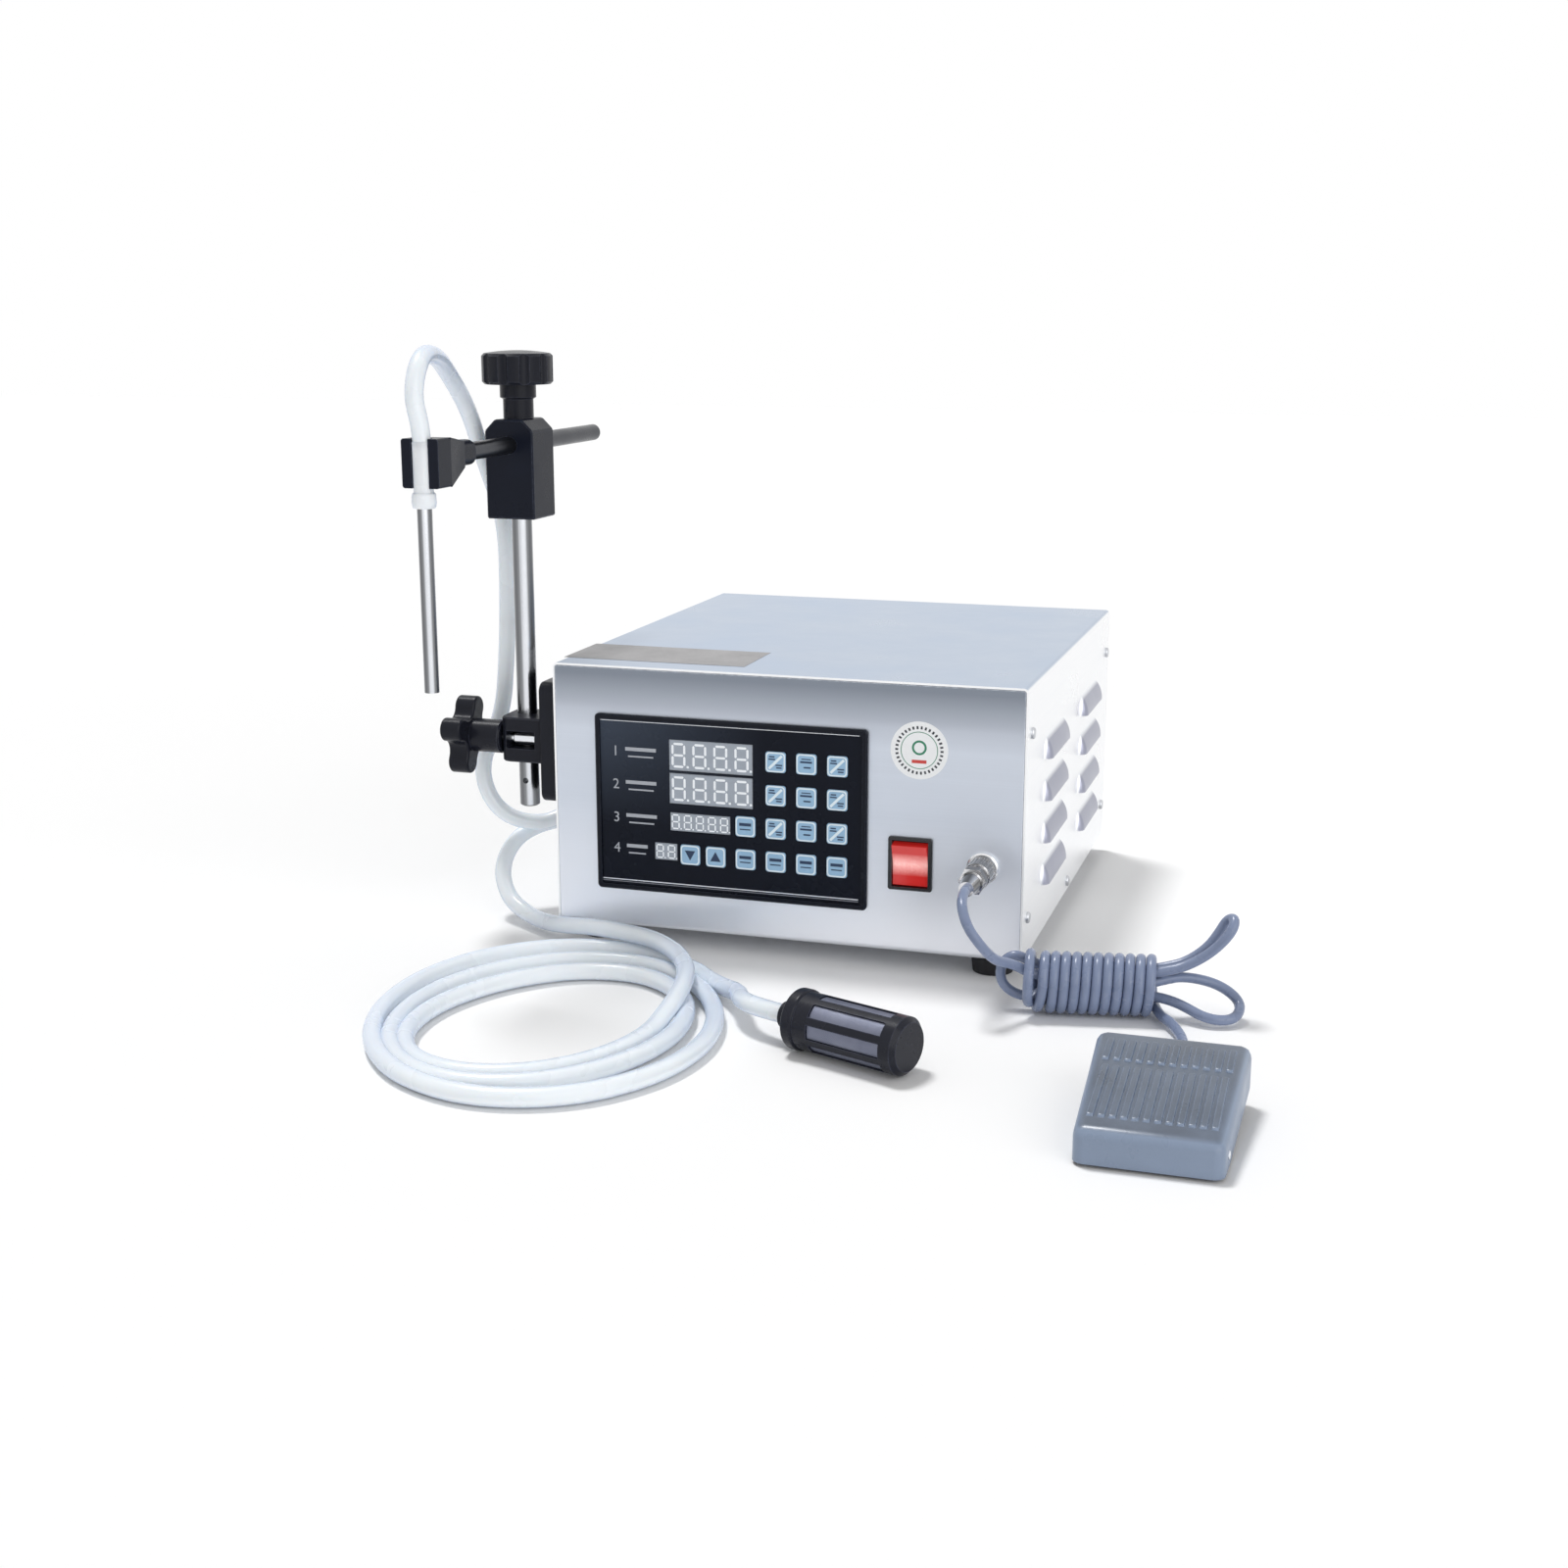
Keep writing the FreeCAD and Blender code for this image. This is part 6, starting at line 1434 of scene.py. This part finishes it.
class FILLER_OT_foot_cable(bpy.types.Operator):
    """Make the foot cable, wound in its hank between the plug and the pedal"""

    bl_idname = "filler.foot_cable"
    bl_label = "Foot cable"

    def execute(self, context):
        wide = sizes().cable
        inner = HANK_IN + HANK_RIGHT_LOOP + HANK_BACK + HANK_LEFT_LOOP
        inner = inner + HANK_OVER + HANK_UP_FOLD + HANK_HOME + HANK_LOOSE_TURN
        for n in range(WRAP_POINTS):
            turn = math.radians(-90 - 30 * n)
            slack = 1 + 0.02 * math.sin(n * 0.37)
            step = WRAP_START + WRAP_PITCH * n / 12
            inner.append((step, WRAP_ACROSS * slack * math.sin(turn), -WRAP_UP * math.cos(turn)))
        inner += HANK_LEAVE
        route = CABLE_LEAD + [tuple(on_hank(*place)) for place in inner] + CABLE_TAIL
        cable = route_curve("foot_cable", route, wide)
        cable.data.materials.append(self.jacket(colours().cable))
        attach(cable, "machine")
        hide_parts("foot_cable_lead", "foot_cable_hank", "foot_cable_tail")
        along(line_of(route))
        chrome = finish(
            "plug chrome",
            (0.84, 0.84, 0.86),
            0.12,
            metallic=1.0,
            grain=2000.0,
            depth=0.00001,
            vary=0.05,
            smudge=0.08,
            edge_wear_and_highlight=(0.95, 0.95, 0.96),
            rim=PLUG_PAINTED_REFLECTION,
        )
        dress(chrome, "foot_plug", "plug_ring")
        return {"FINISHED"}

    def jacket(self, colour):
        material, net, shader = new_material("cable jacket")
        grain = net.effect("fine grain", Scale=900.0)
        mask = net.effect("smudges", Scale=40.0).outputs["Mask"]
        look = net.between(grain.outputs["Shade"], shaded(colour, 0.86), shaded(colour, 1.12))
        look = net.between(net.sum("MULTIPLY", mask, 0.5), look, shaded(colour, 1.18))
        rough = net.span(mask, 0.0, 1.0, 0.22, 0.34)
        net.surface(shader, look, rough, grain.outputs["Height"], 0.4, 0.00005)
        return material


class FILLER_OT_pedal(bpy.types.Operator):
    """Finish the foot pedal"""

    bl_idname = "filler.pedal"
    bl_label = "Foot pedal"

    def execute(self, context):
        shades = colours()
        self.treadle(self.plastic(shades.pedal))
        sole = finish(
            "pedal sole", shaded(shades.pedal, 0.55), 0.5, grain=800.0, depth=0.00008, vary=0.15
        )
        dress(sole, "pedal_base")
        pin = finish(
            "pedal pin steel",
            shades.rod,
            0.25,
            metallic=1.0,
            grain=1900.0,
            depth=0.00001,
            vary=0.06,
        )
        dress(pin, "pedal_pin")
        steel = finish(
            "spring steel",
            (0.5, 0.51, 0.53),
            0.32,
            metallic=1.0,
            grain=1700.0,
            depth=0.00001,
            vary=0.12,
        )
        self.spring(steel)
        micro = finish(
            "micro switch",
            (0.02, 0.02, 0.024),
            0.45,
            grain=1100.0,
            depth=0.00004,
            vary=0.2,
            edge_wear_and_highlight=(0.1, 0.1, 0.12),
        )
        dress(micro, "pedal_switch")
        return {"FINISHED"}

    def spring(self, material):
        """The coil spring under the tread."""
        foot, rise, radius = Vector((TREAD_MIDDLE, -0.310, 0.0037)), 0.0202, 0.0044
        steps, points_in_turn = 28, 8
        route = []
        for n in range(steps + 1):
            angle = 2 * math.pi * n / points_in_turn
            turned = Vector((radius * math.cos(angle), radius * math.sin(angle), rise * n / steps))
            route.append(tuple(foot + turned))
        mesh = as_mesh(route_curve("spring_draft", route, 0.0012))
        bm = bmesh.new()
        bm.from_mesh(mesh)
        bpy.data.meshes.remove(mesh)
        bmesh.ops.remove_doubles(bm, verts=bm.verts[:], dist=1e-6)
        coil = new_piece("return_spring", bm, None, material, smooth=True)
        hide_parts("pedal_spring")
        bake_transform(coil)

    def plastic(self, colour):
        """Moulded plastic with painted light: darker on the ribbed top, paler along its edges."""
        material, net, shader = new_material("pedal plastic")
        grain = net.effect("fine grain", Scale=800.0)
        mask = net.effect("smudges", Scale=34.0).outputs["Mask"]
        edge_mask = net.effect("edge wear and painted light", Radius=0.0008, Amount=0.5).outputs["Mask"]
        facing = net.add("SeparateXYZ", {0: net.add("NewGeometry").outputs["Normal"]}).outputs[2]
        look = net.between(grain.outputs["Shade"], shaded(colour, 0.92), shaded(colour, 1.10))
        # Painted shade: faces that look up are darker.
        painted_top_shade = net.between(mask, shaded(colour, 0.36), shaded(colour, 0.52))
        look = net.between(net.span(facing, 0.72, 0.97), look, painted_top_shade)
        # Painted highlight: the edges are made paler.
        look = net.between(edge_mask, look, shaded(colour, 1.5))
        rough = net.span(mask, 0.0, 1.0, 0.26, 0.38)
        net.surface(shader, look, rough, grain.outputs["Height"], 0.5, 0.00008)
        return material

    def inner_wall(self, bm, middle, wall):
        """Doubles the open shell inwards and joins the two along the open edge."""
        rim = [edge for edge in bm.edges if len(edge.link_faces) == 1]
        copied = bmesh.ops.duplicate(bm, geom=bm.verts[:] + bm.edges[:] + bm.faces[:])
        inside = [copied["edge_map"][edge] for edge in rim]
        kept = {vert for edge in inside for vert in edge.verts}
        for vert in (part for part in copied["geom"] if isinstance(part, bmesh.types.BMVert)):
            for axis, half in ((0, TREAD_NARROW), (1, TREAD_LONG / 2)):
                vert.co[axis] = middle[axis] + (vert.co[axis] - middle[axis]) * (half - wall) / half
            if vert not in kept:
                vert.co.z -= wall
        bmesh.ops.bridge_loops(bm, edges=rim + inside)
        bmesh.ops.recalc_face_normals(bm, faces=bm.faces[:])

    def treadle(self, material):
        """The hollow tread: a wedge with soft edges, open below, with two rows of ribs."""
        middle, front, back = TREAD_MIDDLE, TREAD_FRONT, TREAD_BACK
        narrow, wide = TREAD_NARROW, TREAD_WIDE
        low, skirt, nose, heel = 0.0015, 0.0105, 0.018, 0.0305
        bm = bmesh.new()
        flanks = []
        for side in (-1, 1):
            flank = []
            for y, z in ((front, low), (front + 0.024, low), (back, skirt), (back, heel), (front, nose)):
                half = narrow + (wide - narrow) * (y - front) / (back - front)
                flank.append(bm.verts.new((middle + side * half, y, z)))
            bm.faces.new(flank)
            flanks.append(flank)
        left, right = flanks
        gap = ((-0.0065, skirt), (-0.0065, 0.022), (0.0065, 0.022), (0.0065, skirt))
        notch = [bm.verts.new((middle + x, back, z)) for x, z in gap]
        bm.faces.new((left[0], left[4], right[4], right[0]))
        bm.faces.new((left[4], left[3], right[3], right[4]))
        bm.faces.new((left[2], *notch, right[2], right[3], left[3]))
        shared = [edge for edge in bm.edges if len(edge.link_faces) == 2]
        bmesh.ops.bevel(bm, geom=shared, offset=0.0052, segments=4, profile=0.5, affect="EDGES", material=-1)
        bmesh.ops.recalc_face_normals(bm, faces=bm.faces[:])
        self.inner_wall(bm, Vector((middle, (front + back) / 2, 0.0)), 0.0022)
        slope = (heel - nose) / (back - front)
        for start, long, pitch in ((front + 0.012, 0.048, 0.0050), (front + 0.065, 0.021, 0.0052)):
            for n in range(12):
                x = middle + (n - 5.5) * pitch
                rib = []
                end = long * 1000
                profile = ((0, -0.8), (0, 0.3), (1.2, 1.1), (-1.2, 1.1), (end, 0.3), (end, -0.8))
                for run, proud in profile:
                    y = start + (run if run >= 0 else end + run) * 0.001
                    rib.append(bm.verts.new((x - 0.0015, y, nose + slope * (y - front) + proud * 0.001)))
                flank = bm.faces.new(rib)
                made = bmesh.ops.extrude_face_region(bm, geom=[flank])["geom"]
                verts = [part for part in made if isinstance(part, bmesh.types.BMVert)]
                bmesh.ops.translate(bm, verts=verts, vec=(0.0030, 0.0, 0.0))
                edges = {edge for vert in rib + verts for edge in vert.link_edges}
                bmesh.ops.bevel(
                    bm, geom=list(edges), offset=0.0005, segments=2, profile=0.5, affect="EDGES", material=-1
                )
        shell = new_piece("treadle_shell", bm, "treadle", material, smooth=True)
        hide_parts("pedal_treadle")


class FILLER_OT_inside(bpy.types.Operator):
    """Finish the pump, its motor, the supply and the control board inside"""

    bl_idname = "filler.inside"
    bl_label = "Inside"

    def execute(self, context):
        motor = finish(
            "motor paint",
            (0.10, 0.11, 0.13),
            0.45,
            metallic=0.3,
            grain=700.0,
            depth=0.00009,
            vary=0.12,
            edge_wear_and_highlight=(0.35, 0.36, 0.38),
        )
        dress(motor, "pump_motor")
        head = finish(
            "pump plastic",
            (0.62, 0.62, 0.60),
            0.4,
            grain=900.0,
            depth=0.00006,
            vary=0.07,
            edge_wear_and_highlight=(0.75, 0.75, 0.74),
        )
        dress(head, "pump_head")
        supply = finish(
            "supply alloy",
            (0.58, 0.59, 0.61),
            0.38,
            metallic=0.9,
            grain=1200.0,
            edge_wear_and_highlight=(0.8, 0.8, 0.82),
        )
        dress(supply, "power_supply")
        board = finish(
            "board green",
            (0.03, 0.17, 0.08),
            0.35,
            grain=500.0,
            depth=0.00006,
            vary=0.2,
            edge_wear_and_highlight=(0.25, 0.3, 0.2),
        )
        dress(board, "control_board")
        return {"FINISHED"}


PIECES = (
    FILLER_OT_stage,
    FILLER_OT_suction_hose,
    FILLER_OT_foot_cable,
    FILLER_OT_outlet_hose,
    FILLER_OT_case,
    FILLER_OT_panel,
    FILLER_OT_keys,
    FILLER_OT_switch,
    FILLER_OT_labels,
    FILLER_OT_mast,
    FILLER_OT_strainer,
    FILLER_OT_pedal,
    FILLER_OT_inside,
)


class FILLER_PT_pieces(bpy.types.Panel):
    """Lists the pieces of the filling machine and their settings"""

    bl_idname = "FILLER_PT_pieces"
    bl_label = "Filling machine"
    bl_space_type = "VIEW_3D"
    bl_region_type = "UI"
    bl_category = "Filling machine"

    def draw(self, context):
        for piece in PIECES:
            self.layout.operator(piece.bl_idname)
        for group in (sizes(), colours(), light()):
            box = self.layout.box()
            for key in group.__annotations__:
                box.prop(group, key)


CLASSES = (FillerSizes, FillerColours, FillerLight, *PIECES, FILLER_PT_pieces)


def register():
    for item in CLASSES:
        bpy.utils.register_class(item)
    bpy.types.Scene.filler_sizes = PointerProperty(type=FillerSizes)
    bpy.types.Scene.filler_colours = PointerProperty(type=FillerColours)
    bpy.types.Scene.filler_light = PointerProperty(type=FillerLight)


def unregister():
    del bpy.types.Scene.filler_light
    del bpy.types.Scene.filler_colours
    del bpy.types.Scene.filler_sizes
    for item in reversed(CLASSES):
        bpy.utils.unregister_class(item)


def main():
    register()
    build_effects()
    for piece in PIECES:
        family, name = piece.bl_idname.split(".")
        getattr(getattr(bpy.ops, family), name)()


if __name__ == "__main__":
    main()
